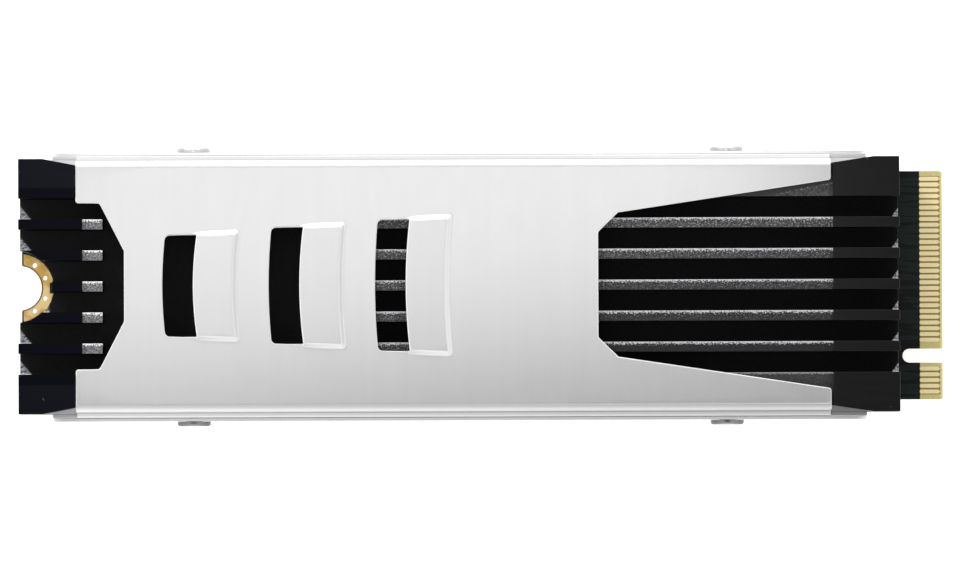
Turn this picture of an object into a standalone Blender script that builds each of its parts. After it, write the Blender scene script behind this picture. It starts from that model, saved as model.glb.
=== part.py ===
"""Gumstick solid state drive: an 80 mm card between a finned heatsink and a folded tray, under a folded shield.

Metres, +Z up. The origin is below the middle of the card, in the plane of the tray's underside.
+X points at the edge contacts, and the shield and the fins face up.
"""

import math

import bmesh
import bpy
from mathutils import Matrix, Vector

# Card
BOARD_LENGTH = 0.0800
BOARD_WIDTH = 0.0220
BOARD_THICKNESS = 0.0008
BOARD_CORNER = 0.00015
TAB_LENGTH = 0.0040
TAB_MARGIN = 0.000675  # from the first contact's middle to the tab's side
TAB_CHAMFER_LENGTH = 0.00022
TAB_CHAMFER_DEPTH = 0.00015
KEY_NOTCH_WIDTH = 0.0012
KEY_NOTCH_DEPTH = 0.0035
SCREW_NOTCH_RADIUS = 0.00192
SCREW_NOTCH_SETBACK = 0.0002  # the notch's centre lies this far outside the card's end
SCREW_PAD_SETBACK = 0.00014  # bare card between the notch's edge and the pad
SCREW_PAD_WIDTH = 0.00091
SCREW_PAD_RELIEF_LENGTH = 0.00093
SCREW_PAD_RELIEF_DEPTH = 0.00036
PAD_VIA_RADIUS = 0.0002
PAD_VIA_INSET = 0.00045  # from the notch's edge to a hole's centre
PAD_VIA_ANGLES = (22.0, 57.0)  # on either side of the centre line
PLATING = 0.00003

# Edge contacts
CONTACT_PITCH = 0.0005
CONTACT_WIDTH = 0.00035
CONTACT_LENGTH = 0.00179
CONTACT_SETBACK = 0.00021
LONG_ROW_COUNT = 29
KEY_GAP_COUNT = 4
SHORT_ROW_ABOVE = 5
SHORT_ROW_BELOW = 4

# Stack between the tray and the heatsink
SEAT_GAP = 0.00004  # clearance between faces that lie on each other
PACKAGE_HEIGHT = 0.0010
PAD_ABOVE_THICKNESS = 0.0010
PAD_BELOW_THICKNESS = 0.0005

# Packages, in a row from the screw notch to the contacts
FIRST_PACKAGE_MARGIN = 0.0095
PACKAGE_SPACING = 0.0020
PACKAGE_EDGE = 0.0020  # bare card beside the widest packages
FLASH_COUNT = 2  # on each face, sharing the length that the others leave
MEMORY_LENGTH = 0.0075
MEMORY_WIDTH = 0.0110
CONTROLLER_SIZE = 0.0120
MOULDING_CHAMFER = 0.00008

# Supply parts, in columns from the tab back
PART_SPACING = 0.0006
SUPPLY_MARGIN = 0.0037  # bare card between the controller and the first column
BULK_LENGTH = 0.0019
BULK_WIDTH = 0.0034
BULK_HEIGHT = 0.0012
BULK_COUNT = 3
POWER_CHIP_SIZE = 0.0040
POWER_CHIP_HEIGHT = 0.0008
SWITCH_LENGTH = 0.0020
SWITCH_WIDTH = 0.0016
SWITCH_HEIGHT = 0.0006
INDUCTOR_LENGTH = 0.0025
INDUCTOR_WIDTH = 0.0020
INDUCTOR_HEIGHT = 0.0010
INDUCTOR_ROUNDING = 0.0002
INDUCTOR_COUNT = 3
CRYSTAL_LENGTH = 0.0016
CRYSTAL_WIDTH = 0.0020
CERAMIC_LENGTH = 0.0005
CERAMIC_WIDTH = 0.0010
SMALL_PART_HEIGHT = 0.0005
CERAMIC_COUNT_ABOVE = 5
CERAMIC_COUNT_BELOW = 3

# Heatsink
HEATSINK_BASE = 0.0012
FIN_HEIGHT = 0.00286
FIN_COUNT = 5
FIN_WIDTH = 0.0009
FIN_PITCH = 0.00268
RAIL_CLEARANCE = 0.0004  # from the widest packages to the rails
FIN_ROOM = 0.0004  # from the lowered fins up to the shield
LOWERED_START_MARGIN = 0.0055
LOWERED_CLEARANCE = 0.0002
POCKET_START_MARGIN = 0.00726
POCKET_LENGTH = 0.02024
RECESS_DEPTH = 0.0005
RECESS_ANGLE = 29.25  # fall of the recess's shoulder outward
RECESS_RUN_OUT_START = 0.00285
RECESS_RUN_OUT_END = 0.0037
SCREW_NOTCH_CLEARANCE = 0.00014

# Shield
SHIELD_SHEET = 0.0003
PANEL_START_MARGIN = 0.00495
PANEL_END_MARGIN = 0.00593
FLANGE_START_MARGIN = 0.00282
FLANGE_END_MARGIN = 0.00276
FLANGE_CORNER = 0.0008
FLANGE_LIFT = 0.0002  # the side flanges end this far above the card
SIDE_DROP = 0.00225
TOP_BEND_RADIUS = 0.0005
JOGGLE_HOLLOW_RADIUS = 0.00012
JOGGLE_ROUND_RADIUS = 0.0004
JOGGLE_ANGLE = 65.0
WINDOW_CORNER = 0.0003
PANEL_CORNER = 0.00025
SCREW_END_WINDOW_STRIP = 0.00384  # from the card's side line to the window
SCREW_END_WINDOW_SHOULDER = 0.00182
SCREW_END_WINDOW_LENGTH = 0.00417
SCREW_END_WINDOW_INNER_WIDTH = 0.00608
PLAIN_FIELD_LENGTH = 0.01272  # unpierced panel between the last scoop and the fin window
FIN_WINDOW_STRIP = 0.00201  # from the card's side line to the window at the panel's end
FIN_WINDOW_CHAMFER = 0.00172
FIN_WINDOW_CHAMFER_WIDTH = 0.01244
FIN_WINDOW_INNER_WIDTH = 0.00908

# Scoops
SCOOP_COUNT = 3
SCOOP_PITCH = 0.00917
FIRST_LIP_MARGIN = 0.01009  # from the panel's edge to the first scoop's lip, on the centre line
SLOT_LENGTH = 0.00266
SLOT_WIDTH = 0.00892
SLOT_WIDTH_STEP = 0.00128
SLOT_TAPER = 0.088
SLOT_BOW = 0.00026
SLOT_CORNER = 0.00035
LIP_CORNER = 0.00012
LIP_STEP = 0.00016  # the sheet beside a lip rises within this length
LIP_OVERLAP = 0.00004
SCOOP_LENGTH = 0.0039
SCOOP_RISE = 0.00055
SCOOP_FALL = 0.00075
SCOOP_SIDE_OUTWARD = 0.00038
SCOOP_SIDE_INWARD = 0.00027

# Tray
TRAY_SHEET = 0.00025
TRAY_BEND_RADIUS = 0.0006
TRAY_STEP = 0.00014  # from the flange's upper edge down to the tray's
TRAY_CORNER = 0.0008
TRAY_NOTCH_CLEARANCE = 0.0003

# Side screws
SCREW_RISE = 0.00163  # from the card's upper face to a screw's axis
SCREW_HEAD_RADIUS = 0.00145
SCREW_HEAD_HEIGHT = 0.0004
SCREW_HEAD_ROUNDING = 0.00022
SCREW_SHANK_RADIUS = 0.0007
SCREW_LENGTH = 0.0018
SCREW_CLEARANCE = 0.00005
SCREW_TIP_ROOM = 0.0001
DRIVE_WIDTH = 0.00032
DRIVE_LENGTH = 0.0014
DRIVE_DEPTH = 0.00028
FIRST_SCREW_MARGIN = 0.0150
LAST_SCREW_MARGIN = 0.0148

ROUND_STEPS = 20
CORNER_STEPS = 3
OVERRUN = 0.0010  # cutters run this far past what they cut

Z_BOARD = TRAY_SHEET + PAD_BELOW_THICKNESS + PACKAGE_HEIGHT + 3 * SEAT_GAP
Z_BOARD_TOP = Z_BOARD + BOARD_THICKNESS
Z_BASE = Z_BOARD_TOP + PACKAGE_HEIGHT + PAD_ABOVE_THICKNESS + 3 * SEAT_GAP
Z_GROOVE = Z_BASE + HEATSINK_BASE
Z_TOP = Z_GROOVE + FIN_HEIGHT
Z_LOWERED = Z_TOP - SHIELD_SHEET - FIN_ROOM
Z_SCREW = Z_BOARD_TOP + SCREW_RISE
Z_FLANGE = Z_BOARD_TOP + FLANGE_LIFT

X_START = -BOARD_LENGTH / 2
X_END = BOARD_LENGTH / 2
X_TAB = X_END - TAB_LENGTH
X_NOTCH = X_START - SCREW_NOTCH_SETBACK
X_PANEL_START = X_START + PANEL_START_MARGIN
X_PANEL_END = X_TAB - PANEL_END_MARGIN
X_FLANGE_START = X_START + FLANGE_START_MARGIN
X_FLANGE_END = X_TAB - FLANGE_END_MARGIN
X_SCREWS = [X_START + FIRST_SCREW_MARGIN, X_TAB - LAST_SCREW_MARGIN]

HALF_WIDTH = BOARD_WIDTH / 2
GROOVE_FIELD = (FIN_COUNT + 1) * FIN_PITCH / 2 - FIN_WIDTH / 2
PACKAGE_HALF_WIDTH = HALF_WIDTH - PACKAGE_EDGE
RAIL_INNER = PACKAGE_HALF_WIDTH + RAIL_CLEARANCE
RECESS_WALL = HALF_WIDTH - RECESS_DEPTH
SHIELD_UPPER = RECESS_WALL + SEAT_GAP + SHIELD_SHEET
SHIELD_LOWER = HALF_WIDTH + SEAT_GAP + SHIELD_SHEET
TRAY_OUTER = SHIELD_LOWER + SEAT_GAP + TRAY_SHEET
Z_JOGGLE = Z_TOP - SIDE_DROP
SCREW_PAD_RADIUS = SCREW_NOTCH_RADIUS + SCREW_PAD_SETBACK + SCREW_PAD_WIDTH

CONTACT_PLACES = LONG_ROW_COUNT + KEY_GAP_COUNT + SHORT_ROW_ABOVE
FIRST_CONTACT_ABOVE = (CONTACT_PLACES - 1) * CONTACT_PITCH / 2
FIRST_CONTACT_BELOW = FIRST_CONTACT_ABOVE - CONTACT_PITCH / 2
HALF_TAB = FIRST_CONTACT_ABOVE + TAB_MARGIN
KEY_GAP_MIDDLE = LONG_ROW_COUNT - 1 + (KEY_GAP_COUNT + 1) / 2
KEY_NOTCH_CENTRE = (FIRST_CONTACT_ABOVE + FIRST_CONTACT_BELOW) / 2 - CONTACT_PITCH * KEY_GAP_MIDDLE

# Filling merges points that lie very close when counted in units, so outlines are filled in millimetres.
FILL_UNIT = 0.001

PLANES = {
    "XY": Matrix.Identity(4),
    "YZ": Matrix(((0, 0, 1, 0), (1, 0, 0, 0), (0, 1, 0, 0), (0, 0, 0, 1))),
    "XZ": Matrix(((1, 0, 0, 0), (0, 0, -1, 0), (0, 1, 0, 0), (0, 0, 0, 1))),
}


def clear_scene():
    for thing in list(bpy.data.objects):
        bpy.data.objects.remove(thing, do_unlink=True)
    for group in list(bpy.data.collections):
        bpy.data.collections.remove(group)


def new_collection(name):
    group = bpy.data.collections.new(name)
    bpy.context.scene.collection.children.link(group)
    return group


def material(name, colour, roughness, metallic=0.0):
    """A Principled material, made once for each name."""
    found = bpy.data.materials.get(name)
    if found:
        return found
    made = bpy.data.materials.new(name)
    made.use_nodes = True
    made.diffuse_color = (*colour, 1.0)
    shader = made.node_tree.nodes["Principled BSDF"]
    shader.inputs["Base Color"].default_value = (*colour, 1.0)
    shader.inputs["Roughness"].default_value = roughness
    shader.inputs["Metallic"].default_value = metallic
    return made


def black_anodised():
    return material("black_anodised", (0.012, 0.012, 0.014), 0.45, 0.6)


def silver_sheet():
    return material("silver_sheet", (0.78, 0.78, 0.79), 0.32, 1.0)


def screw_steel():
    return material("screw_steel", (0.62, 0.62, 0.63), 0.28, 1.0)


def solder_mask():
    return material("solder_mask", (0.008, 0.014, 0.013), 0.4)


def gold_plate():
    return material("gold_plate", (0.83, 0.60, 0.26), 0.3, 1.0)


def moulding_black():
    return material("moulding_black", (0.02, 0.02, 0.022), 0.55)


def silicone_grey():
    return material("silicone_grey", (0.30, 0.33, 0.38), 0.9)


def component_metal():
    return material("component_metal", (0.55, 0.55, 0.56), 0.35, 1.0)


def component_tan():
    return material("component_tan", (0.36, 0.26, 0.17), 0.6)


def placed(name, mesh, group):
    made = bpy.data.objects.new(name, mesh)
    group.objects.link(made)
    return made


def mesh_from(name, shape):
    """The bmesh as a new mesh, with its faces turned outward."""
    bmesh.ops.recalc_face_normals(shape, faces=shape.faces)
    mesh = bpy.data.meshes.new(name)
    shape.to_mesh(mesh)
    shape.free()
    return mesh


def block(name, low, high, group, chamfer=0.0):
    """A box between two corners, with its edges chamfered."""
    shape = bmesh.new()
    size = Vector(high) - Vector(low)
    middle = (Vector(high) + Vector(low)) / 2
    bmesh.ops.create_cube(shape, size=1, matrix=Matrix.Translation(middle) @ Matrix.Diagonal((*size, 1)))
    if chamfer:
        bmesh.ops.bevel(shape, geom=shape.edges[:], offset=chamfer, segments=1, affect="EDGES")
    return placed(name, mesh_from(name, shape), group)


def rod(name, radius, start, end, group, segments=ROUND_STEPS):
    """A cylinder between two points."""
    shape = bmesh.new()
    axis = Vector(end) - Vector(start)
    turn = axis.to_track_quat("Z", "Y").to_matrix().to_4x4()
    middle = Matrix.Translation((Vector(start) + Vector(end)) / 2)
    bmesh.ops.create_cone(
        shape,
        cap_ends=True,
        segments=segments,
        radius1=radius,
        radius2=radius,
        depth=axis.length,
        matrix=middle @ turn,
    )
    return placed(name, mesh_from(name, shape), group)


def arc(x, y, radius, start, end, steps):
    """Points of an arc about (x, y), from one angle to another in degrees."""
    angles = [math.radians(start + (end - start) * step / steps) for step in range(steps + 1)]
    return [(x + radius * math.cos(angle), y + radius * math.sin(angle)) for angle in angles]


def sharp(points):
    """The points as corners without rounding."""
    return [(x, y, 0.0) for x, y in points]


def rounded(corners, steps=CORNER_STEPS):
    """A closed outline whose (x, y, radius) corners are each rounded by their own radius."""
    outline = []
    for index, (x, y, radius) in enumerate(corners):
        if not radius:
            outline.append((x, y))
            continue
        corner = Vector((x, y))
        back = (Vector(corners[index - 1][:2]) - corner).normalized()
        ahead = (Vector(corners[(index + 1) % len(corners)][:2]) - corner).normalized()
        half = back.angle(ahead) / 2
        centre = corner + (back + ahead).normalized() * radius / math.sin(half)
        first = corner + back * radius / math.tan(half) - centre
        last = corner + ahead * radius / math.tan(half) - centre
        start = math.degrees(math.atan2(first.y, first.x))
        turn = math.degrees(math.atan2(first.cross(last), first.dot(last)))
        outline += arc(centre.x, centre.y, radius, start, start + turn, steps)
    return outline


def extruded(name, outlines, plane, low, high, group):
    """Closed outlines in a plane, extruded along its normal from low to high, as one mesh object."""
    curve = bpy.data.curves.new(name, "CURVE")
    curve.dimensions = "2D"
    curve.fill_mode = "BOTH"
    curve.extrude = (high - low) / 2 / FILL_UNIT
    for outline in outlines:
        spline = curve.splines.new("POLY")
        spline.points.add(len(outline) - 1)
        for point, (x, y) in zip(spline.points, outline):
            point.co = (x / FILL_UNIT, y / FILL_UNIT, 0, 1)
        spline.use_cyclic_u = True
    guide = placed(name + "_guide", curve, group)
    lift = Matrix.Translation((0, 0, (high + low) / 2))
    guide.matrix_world = PLANES[plane] @ lift @ Matrix.Scale(FILL_UNIT, 4)
    bpy.context.view_layer.update()
    graph = bpy.context.evaluated_depsgraph_get()
    mesh = bpy.data.meshes.new_from_object(guide.evaluated_get(graph))
    mesh.transform(guide.matrix_world)
    bpy.data.objects.remove(guide)
    shape = bmesh.new()
    shape.from_mesh(mesh)
    bpy.data.meshes.remove(mesh)
    bmesh.ops.remove_doubles(shape, verts=shape.verts, dist=0.000001)
    return placed(name, mesh_from(name, shape), group)


def combine(target, tool, operation="DIFFERENCE"):
    """Cuts, joins or intersects a piece with a tool, which stays in the scene as a wire helper.

    Faces that come from the tool keep the tool's own material, where it has one.
    """
    tool.hide_render = True
    tool.display_type = "WIRE"
    change = target.modifiers.new(tool.name, "BOOLEAN")
    change.operation = operation
    change.solver = "EXACT"
    change.material_mode = "TRANSFER"
    change.object = tool


def finish(piece, *looks):
    for look in looks:
        piece.data.materials.append(look)


def smooth(piece, degrees=35):
    """Shades a round piece smooth, with its sharper edges kept."""
    piece.data.shade_smooth()
    piece.data.set_sharp_from_angle(angle=math.radians(degrees))


def bent_path(start, heading, bends):
    """The points of a folded face's section.

    From start, at a heading in degrees, each (straight, radius, turn, steps) goes straight on and then bends.
    A positive turn bends to the left. A radius belongs to this face of the sheet.
    """
    y, z = start
    points = [start]
    for straight, radius, turn, steps in bends:
        y += straight * math.cos(math.radians(heading))
        z += straight * math.sin(math.radians(heading))
        points.append((y, z))
        if turn:
            side = math.copysign(90, turn)
            centre_y = y + radius * math.cos(math.radians(heading + side))
            centre_z = z + radius * math.sin(math.radians(heading + side))
            from_centre = heading - side
            curve = arc(centre_y, centre_z, radius, from_centre, from_centre + turn, steps)
            points += curve[1:]
            y, z = curve[-1]
            heading += turn
    return points


def formed_sheet(name, rows, columns, form, thickness, side, group):
    """A flat grid as the sheet's blank, whose points form() moves to their place, thickened to one side."""
    blank = bmesh.new()
    bmesh.ops.create_grid(blank, x_segments=rows - 1, y_segments=columns - 1, size=1)
    for point in blank.verts:
        row = round((point.co.x + 1) / 2 * (rows - 1))
        column = round((point.co.y + 1) / 2 * (columns - 1))
        point.co = form(row, column)
    mesh = bpy.data.meshes.new(name)
    blank.to_mesh(mesh)
    blank.free()
    sheet = placed(name, mesh, group)
    shell = sheet.modifiers.new("sheet_thickness", "SOLIDIFY")
    shell.thickness = thickness
    shell.offset = side
    shell.use_even_offset = True
    return sheet


def key_notch():
    """The notch between the two rows of contacts, from the tab's end inward and back."""
    radius = KEY_NOTCH_WIDTH / 2
    x = X_END - KEY_NOTCH_DEPTH + radius
    inner = arc(x, KEY_NOTCH_CENTRE, radius, -90, -270, 8)
    return [(X_END, KEY_NOTCH_CENTRE - radius), *inner, (X_END, KEY_NOTCH_CENTRE + radius)]


def screw_notch():
    """The half-round notch for the mounting screw, from +Y to -Y."""
    reach = math.degrees(math.acos(SCREW_NOTCH_SETBACK / SCREW_NOTCH_RADIUS))
    return arc(X_NOTCH, 0, SCREW_NOTCH_RADIUS, reach, -reach, 16)


def board_outline():
    corners = [
        (X_START, -HALF_WIDTH, BOARD_CORNER),
        (X_TAB, -HALF_WIDTH, BOARD_CORNER),
        (X_TAB, -HALF_TAB, 0.0),
        (X_END, -HALF_TAB, BOARD_CORNER),
        *sharp(key_notch()),
        (X_END, HALF_TAB, BOARD_CORNER),
        (X_TAB, HALF_TAB, 0.0),
        (X_TAB, HALF_WIDTH, BOARD_CORNER),
        (X_START, HALF_WIDTH, BOARD_CORNER),
        *sharp(screw_notch()),
    ]
    return rounded(corners, 2)


def contact_outline(y):
    """One contact: its inner end is rounded off and its outer end comes to a blunt point."""
    half = CONTACT_WIDTH / 2
    inner = X_END - CONTACT_SETBACK - CONTACT_LENGTH
    outer = X_END - CONTACT_SETBACK
    return [
        (inner, y - half / 2),
        (inner + half / 2, y - half),
        (outer - half, y - half),
        (outer, y),
        (outer - half, y + half),
        (inner + half / 2, y + half),
        (inner, y + half / 2),
    ]


def contact_outlines(first, short_row):
    """A long row and a short row, on one pitch, with the key notch in the gap between them."""
    after_gap = LONG_ROW_COUNT + KEY_GAP_COUNT
    places = [*range(LONG_ROW_COUNT), *range(after_gap, after_gap + short_row)]
    return [contact_outline(first - CONTACT_PITCH * place) for place in places]


def screw_pad_outline():
    """The plated land round the screw notch, with a small relief in the middle of its outer edge."""
    inner_radius = SCREW_NOTCH_RADIUS + SCREW_PAD_SETBACK
    end = SCREW_NOTCH_SETBACK + SCREW_PAD_SETBACK
    outer_reach = math.degrees(math.acos(end / SCREW_PAD_RADIUS))
    inner_reach = math.degrees(math.acos(end / inner_radius))
    relief = math.degrees(math.asin(SCREW_PAD_RELIEF_LENGTH / 2 / SCREW_PAD_RADIUS))
    relief_x = X_NOTCH + SCREW_PAD_RADIUS - SCREW_PAD_RELIEF_DEPTH
    lower = arc(X_NOTCH, 0, SCREW_PAD_RADIUS, -outer_reach, -relief, 8)
    upper = arc(X_NOTCH, 0, SCREW_PAD_RADIUS, relief, outer_reach, 8)
    floor = [(relief_x, -SCREW_PAD_RELIEF_LENGTH / 2), (relief_x, SCREW_PAD_RELIEF_LENGTH / 2)]
    return [*lower, *floor, *upper, *arc(X_NOTCH, 0, inner_radius, inner_reach, -inner_reach, 12)]


def tab_chamfer(name, surface, outward, group):
    """A wedge that takes the tab's end edge off one face of the card. outward is 1 above and -1 below."""
    slope = TAB_CHAMFER_DEPTH / TAB_CHAMFER_LENGTH
    outline = [
        (X_END - TAB_CHAMFER_LENGTH - OVERRUN, surface + outward * slope * OVERRUN),
        (X_END + OVERRUN, surface - outward * (TAB_CHAMFER_DEPTH + slope * OVERRUN)),
        (X_END + OVERRUN, surface + outward * OVERRUN),
    ]
    return extruded(name, [outline], "XZ", -HALF_WIDTH, HALF_WIDTH, group)


def pad_vias(cutters):
    """The plated holes that pass through the screw pad, on one circle round the notch."""
    circle = SCREW_NOTCH_RADIUS + PAD_VIA_INSET
    holes = []
    for degrees in [side * degrees for degrees in PAD_VIA_ANGLES for side in (1, -1)]:
        angle = math.radians(degrees)
        x = X_NOTCH + circle * math.cos(angle)
        y = circle * math.sin(angle)
        low, high = (x, y, Z_BOARD - OVERRUN), (x, y, Z_BOARD_TOP + OVERRUN)
        holes.append(rod("pad_via", PAD_VIA_RADIUS, low, high, cutters, 16))
    return holes


def circuit_board(parts, cutters):
    board = extruded("circuit_board", [board_outline()], "XY", Z_BOARD, Z_BOARD_TOP, parts)
    root = BOARD_THICKNESS / 4
    combine(board, tab_chamfer("tab_chamfer_above", Z_BOARD_TOP, 1, cutters))
    combine(board, tab_chamfer("tab_chamfer_below", Z_BOARD, -1, cutters))
    above = [screw_pad_outline(), *contact_outlines(FIRST_CONTACT_ABOVE, SHORT_ROW_ABOVE)]
    below = [screw_pad_outline(), *contact_outlines(FIRST_CONTACT_BELOW, SHORT_ROW_BELOW)]
    plating_above = extruded("plating_above", above, "XY", Z_BOARD_TOP - root, Z_BOARD_TOP + PLATING, cutters)
    plating_below = extruded("plating_below", below, "XY", Z_BOARD - PLATING, Z_BOARD + root, cutters)
    finish(board, solder_mask())
    for plating in (plating_above, plating_below):
        finish(plating, gold_plate())
        combine(board, plating, "UNION")
    for via in pad_vias(cutters):
        combine(board, via)


def component(name, x, y, size, outward, look, parts, chamfer=MOULDING_CHAMFER):
    """A part soldered on one face of the card. outward is 1 on the upper face and -1 on the lower."""
    length, width, height = size
    face = Z_BOARD_TOP if outward > 0 else Z_BOARD
    levels = sorted([face + outward * SEAT_GAP, face + outward * (SEAT_GAP + height)])
    low = (x - length / 2, y - width / 2, levels[0])
    high = (x + length / 2, y + width / 2, levels[1])
    made = block(name, low, high, parts, chamfer)
    finish(made, look)


def centred(count, pitch):
    """Places of a row on one pitch, centred on zero."""
    return [(index - (count - 1) / 2) * pitch for index in range(count)]


def supply_columns():
    """The middle of each column of supply parts: bulk capacitors, power chip, small parts."""
    x_bulk = X_TAB - PART_SPACING - BULK_LENGTH / 2
    x_power = x_bulk - BULK_LENGTH / 2 - PART_SPACING - POWER_CHIP_SIZE / 2
    x_small = x_power - POWER_CHIP_SIZE / 2 - PART_SPACING - CRYSTAL_LENGTH / 2
    return x_bulk, x_power, x_small


def package_row():
    """The middle of each package along the card, a flash package's length, and where the row ends."""
    start = X_START + FIRST_PACKAGE_MARGIN
    end = supply_columns()[-1] - CRYSTAL_LENGTH / 2 - SUPPLY_MARGIN
    spaces = (FLASH_COUNT + 1) * PACKAGE_SPACING
    flash_length = (end - start - spaces - MEMORY_LENGTH - CONTROLLER_SIZE) / FLASH_COUNT
    middles = []
    x = start
    for length in [flash_length] * FLASH_COUNT + [MEMORY_LENGTH, CONTROLLER_SIZE]:
        middles.append(x + length / 2)
        x += length + PACKAGE_SPACING
    return middles, flash_length, end


def packages(parts):
    """The flash packages and the memory on both faces, and the controller by the contacts."""
    (*x_flash, x_memory, x_controller), flash_length, _ = package_row()
    flash = (flash_length, 2 * PACKAGE_HALF_WIDTH, PACKAGE_HEIGHT)
    memory = (MEMORY_LENGTH, MEMORY_WIDTH, PACKAGE_HEIGHT)
    controller = (CONTROLLER_SIZE, CONTROLLER_SIZE, PACKAGE_HEIGHT)
    for index, (x, outward) in enumerate((x, outward) for outward in (1, -1) for x in x_flash):
        component(f"flash_package_{index + 1}", x, 0, flash, outward, moulding_black(), parts)
    component("dram_chip_top", x_memory, 0, memory, 1, moulding_black(), parts)
    component("dram_chip_bottom", x_memory, 0, memory, -1, moulding_black(), parts)
    component("controller", x_controller, 0, controller, 1, component_metal(), parts)


def supply_parts(parts):
    """Bulk capacitors by the tab, then the power chip with its switch and inductors, then the small parts."""
    x_bulk, x_power, x_small = supply_columns()
    bulk = (BULK_LENGTH, BULK_WIDTH, BULK_HEIGHT)
    for index, y in enumerate(centred(BULK_COUNT, BULK_WIDTH + PART_SPACING)):
        component(f"polymer_capacitor_{index + 1}", x_bulk, y, bulk, 1, moulding_black(), parts)

    power_chip = (POWER_CHIP_SIZE, POWER_CHIP_SIZE, POWER_CHIP_HEIGHT)
    switch = (SWITCH_LENGTH, SWITCH_WIDTH, SWITCH_HEIGHT)
    inductor = (INDUCTOR_LENGTH, INDUCTOR_WIDTH, INDUCTOR_HEIGHT)
    y = -PACKAGE_HALF_WIDTH + POWER_CHIP_SIZE / 2
    component("power_chip", x_power, y, power_chip, 1, moulding_black(), parts)
    y += POWER_CHIP_SIZE / 2 + PART_SPACING + SWITCH_WIDTH / 2
    component("load_switch", x_power, y, switch, 1, moulding_black(), parts)
    y += SWITCH_WIDTH / 2 + PART_SPACING + INDUCTOR_WIDTH / 2
    for index in range(INDUCTOR_COUNT):
        name = f"inductor_{index + 1}"
        component(name, x_power, y, inductor, 1, moulding_black(), parts, INDUCTOR_ROUNDING)
        y += INDUCTOR_WIDTH + PART_SPACING

    crystal = (CRYSTAL_LENGTH, CRYSTAL_WIDTH, SMALL_PART_HEIGHT)
    row = centred(CERAMIC_COUNT_ABOVE, CERAMIC_WIDTH + PART_SPACING)
    y = row[-1] + CERAMIC_WIDTH / 2 + PART_SPACING + CRYSTAL_WIDTH / 2
    component("crystal", x_small, y, crystal, 1, component_metal(), parts)
    ceramic_capacitors(x_small, row, parts)


def ceramic_capacitors(x_small, row, parts):
    """A row beside the controller on the upper face, and a row under the controller on the lower."""
    x_controller = package_row()[0][-1]
    size = (CERAMIC_LENGTH, CERAMIC_WIDTH, SMALL_PART_HEIGHT)
    places = [(x_small, y, 1) for y in row]
    places += [(x_controller, y, -1) for y in centred(CERAMIC_COUNT_BELOW, 2 * (CERAMIC_WIDTH + PART_SPACING))]
    for index, (x, y, outward) in enumerate(places):
        component(f"ceramic_capacitor_{index + 1}", x, y, size, outward, component_tan(), parts)


def thermal_pads(parts):
    """One silicone pad on the packages of each face."""
    middles, _, row_end = package_row()
    pad_start = X_START + FIRST_PACKAGE_MARGIN
    memory_end = middles[-2] + MEMORY_LENGTH / 2
    above = Z_BOARD_TOP + PACKAGE_HEIGHT + 2 * SEAT_GAP
    below = TRAY_SHEET + SEAT_GAP
    spans = {
        "thermal_pad_top": (row_end, above, PAD_ABOVE_THICKNESS),
        "thermal_pad_bottom": (memory_end, below, PAD_BELOW_THICKNESS),
    }
    for name, (pad_end, z, thickness) in spans.items():
        low = (pad_start, -PACKAGE_HALF_WIDTH, z)
        high = (pad_end, PACKAGE_HALF_WIDTH, z + thickness)
        pad = block(name, low, high, parts, MOULDING_CHAMFER)
        finish(pad, silicone_grey())


def heatsink_section():
    """The extrusion's section: two rails below, five fins between two solid flanks above."""
    rail_bottom = Z_BOARD_TOP + SEAT_GAP
    fins = [(GROOVE_FIELD, Z_TOP), (GROOVE_FIELD, Z_GROOVE)]
    for index in range(FIN_COUNT):
        y = ((FIN_COUNT - 1) / 2 - index) * FIN_PITCH
        right = y + FIN_WIDTH / 2
        left = y - FIN_WIDTH / 2
        fins += [(right, Z_GROOVE), (right, Z_TOP), (left, Z_TOP), (left, Z_GROOVE)]
    fins += [(-GROOVE_FIELD, Z_GROOVE), (-GROOVE_FIELD, Z_TOP)]
    return [
        (HALF_WIDTH, rail_bottom),
        (HALF_WIDTH, Z_TOP),
        *fins,
        (-HALF_WIDTH, Z_TOP),
        (-HALF_WIDTH, rail_bottom),
        (-RAIL_INNER, rail_bottom),
        (-RAIL_INNER, Z_BASE),
        (RAIL_INNER, Z_BASE),
        (RAIL_INNER, rail_bottom),
    ]


def lowered_field(cutters):
    """The milled zone under the shield. It starts further in on the fins than on the flanks."""
    flank_start = X_PANEL_START - LOWERED_CLEARANCE / 2
    fin_start = X_START + LOWERED_START_MARGIN
    end = X_PANEL_END + LOWERED_CLEARANCE
    past = HALF_WIDTH + OVERRUN
    step = GROOVE_FIELD - OVERRUN / 2
    outline = [
        (flank_start, -past),
        (end, -past),
        (end, past),
        (flank_start, past),
        (flank_start, step),
        (fin_start, step),
        (fin_start, -step),
        (flank_start, -step),
    ]
    return extruded("lowered_field", [outline], "XY", Z_LOWERED, Z_TOP + OVERRUN, cutters)


def side_recess(name, side, cutters):
    """The milled recess for the shield's side. It runs out at both ends and its floor slopes down outward."""
    wall = side * RECESS_WALL
    face = side * HALF_WIDTH
    past = side * (HALF_WIDTH + OVERRUN)
    past_run = OVERRUN / RECESS_DEPTH
    outline = [
        (X_PANEL_START - SEAT_GAP, wall),
        (X_PANEL_END + SEAT_GAP, wall),
        (X_PANEL_END + RECESS_RUN_OUT_END, face),
        (X_PANEL_END + RECESS_RUN_OUT_END * (1 + past_run), past),
        (X_PANEL_START - RECESS_RUN_OUT_START * (1 + past_run), past),
        (X_PANEL_START - RECESS_RUN_OUT_START, face),
    ]
    recess = extruded(name, [outline], "XY", Z_JOGGLE, Z_TOP + OVERRUN, cutters)
    fall = math.tan(math.radians(RECESS_ANGLE))
    wall_foot = Z_JOGGLE - RECESS_DEPTH * (1 + fall) / 2
    for point in recess.data.vertices:
        if point.co.z < Z_TOP:
            point.co.z = wall_foot - fall * (abs(point.co.y) - RECESS_WALL)
    return recess


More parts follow.
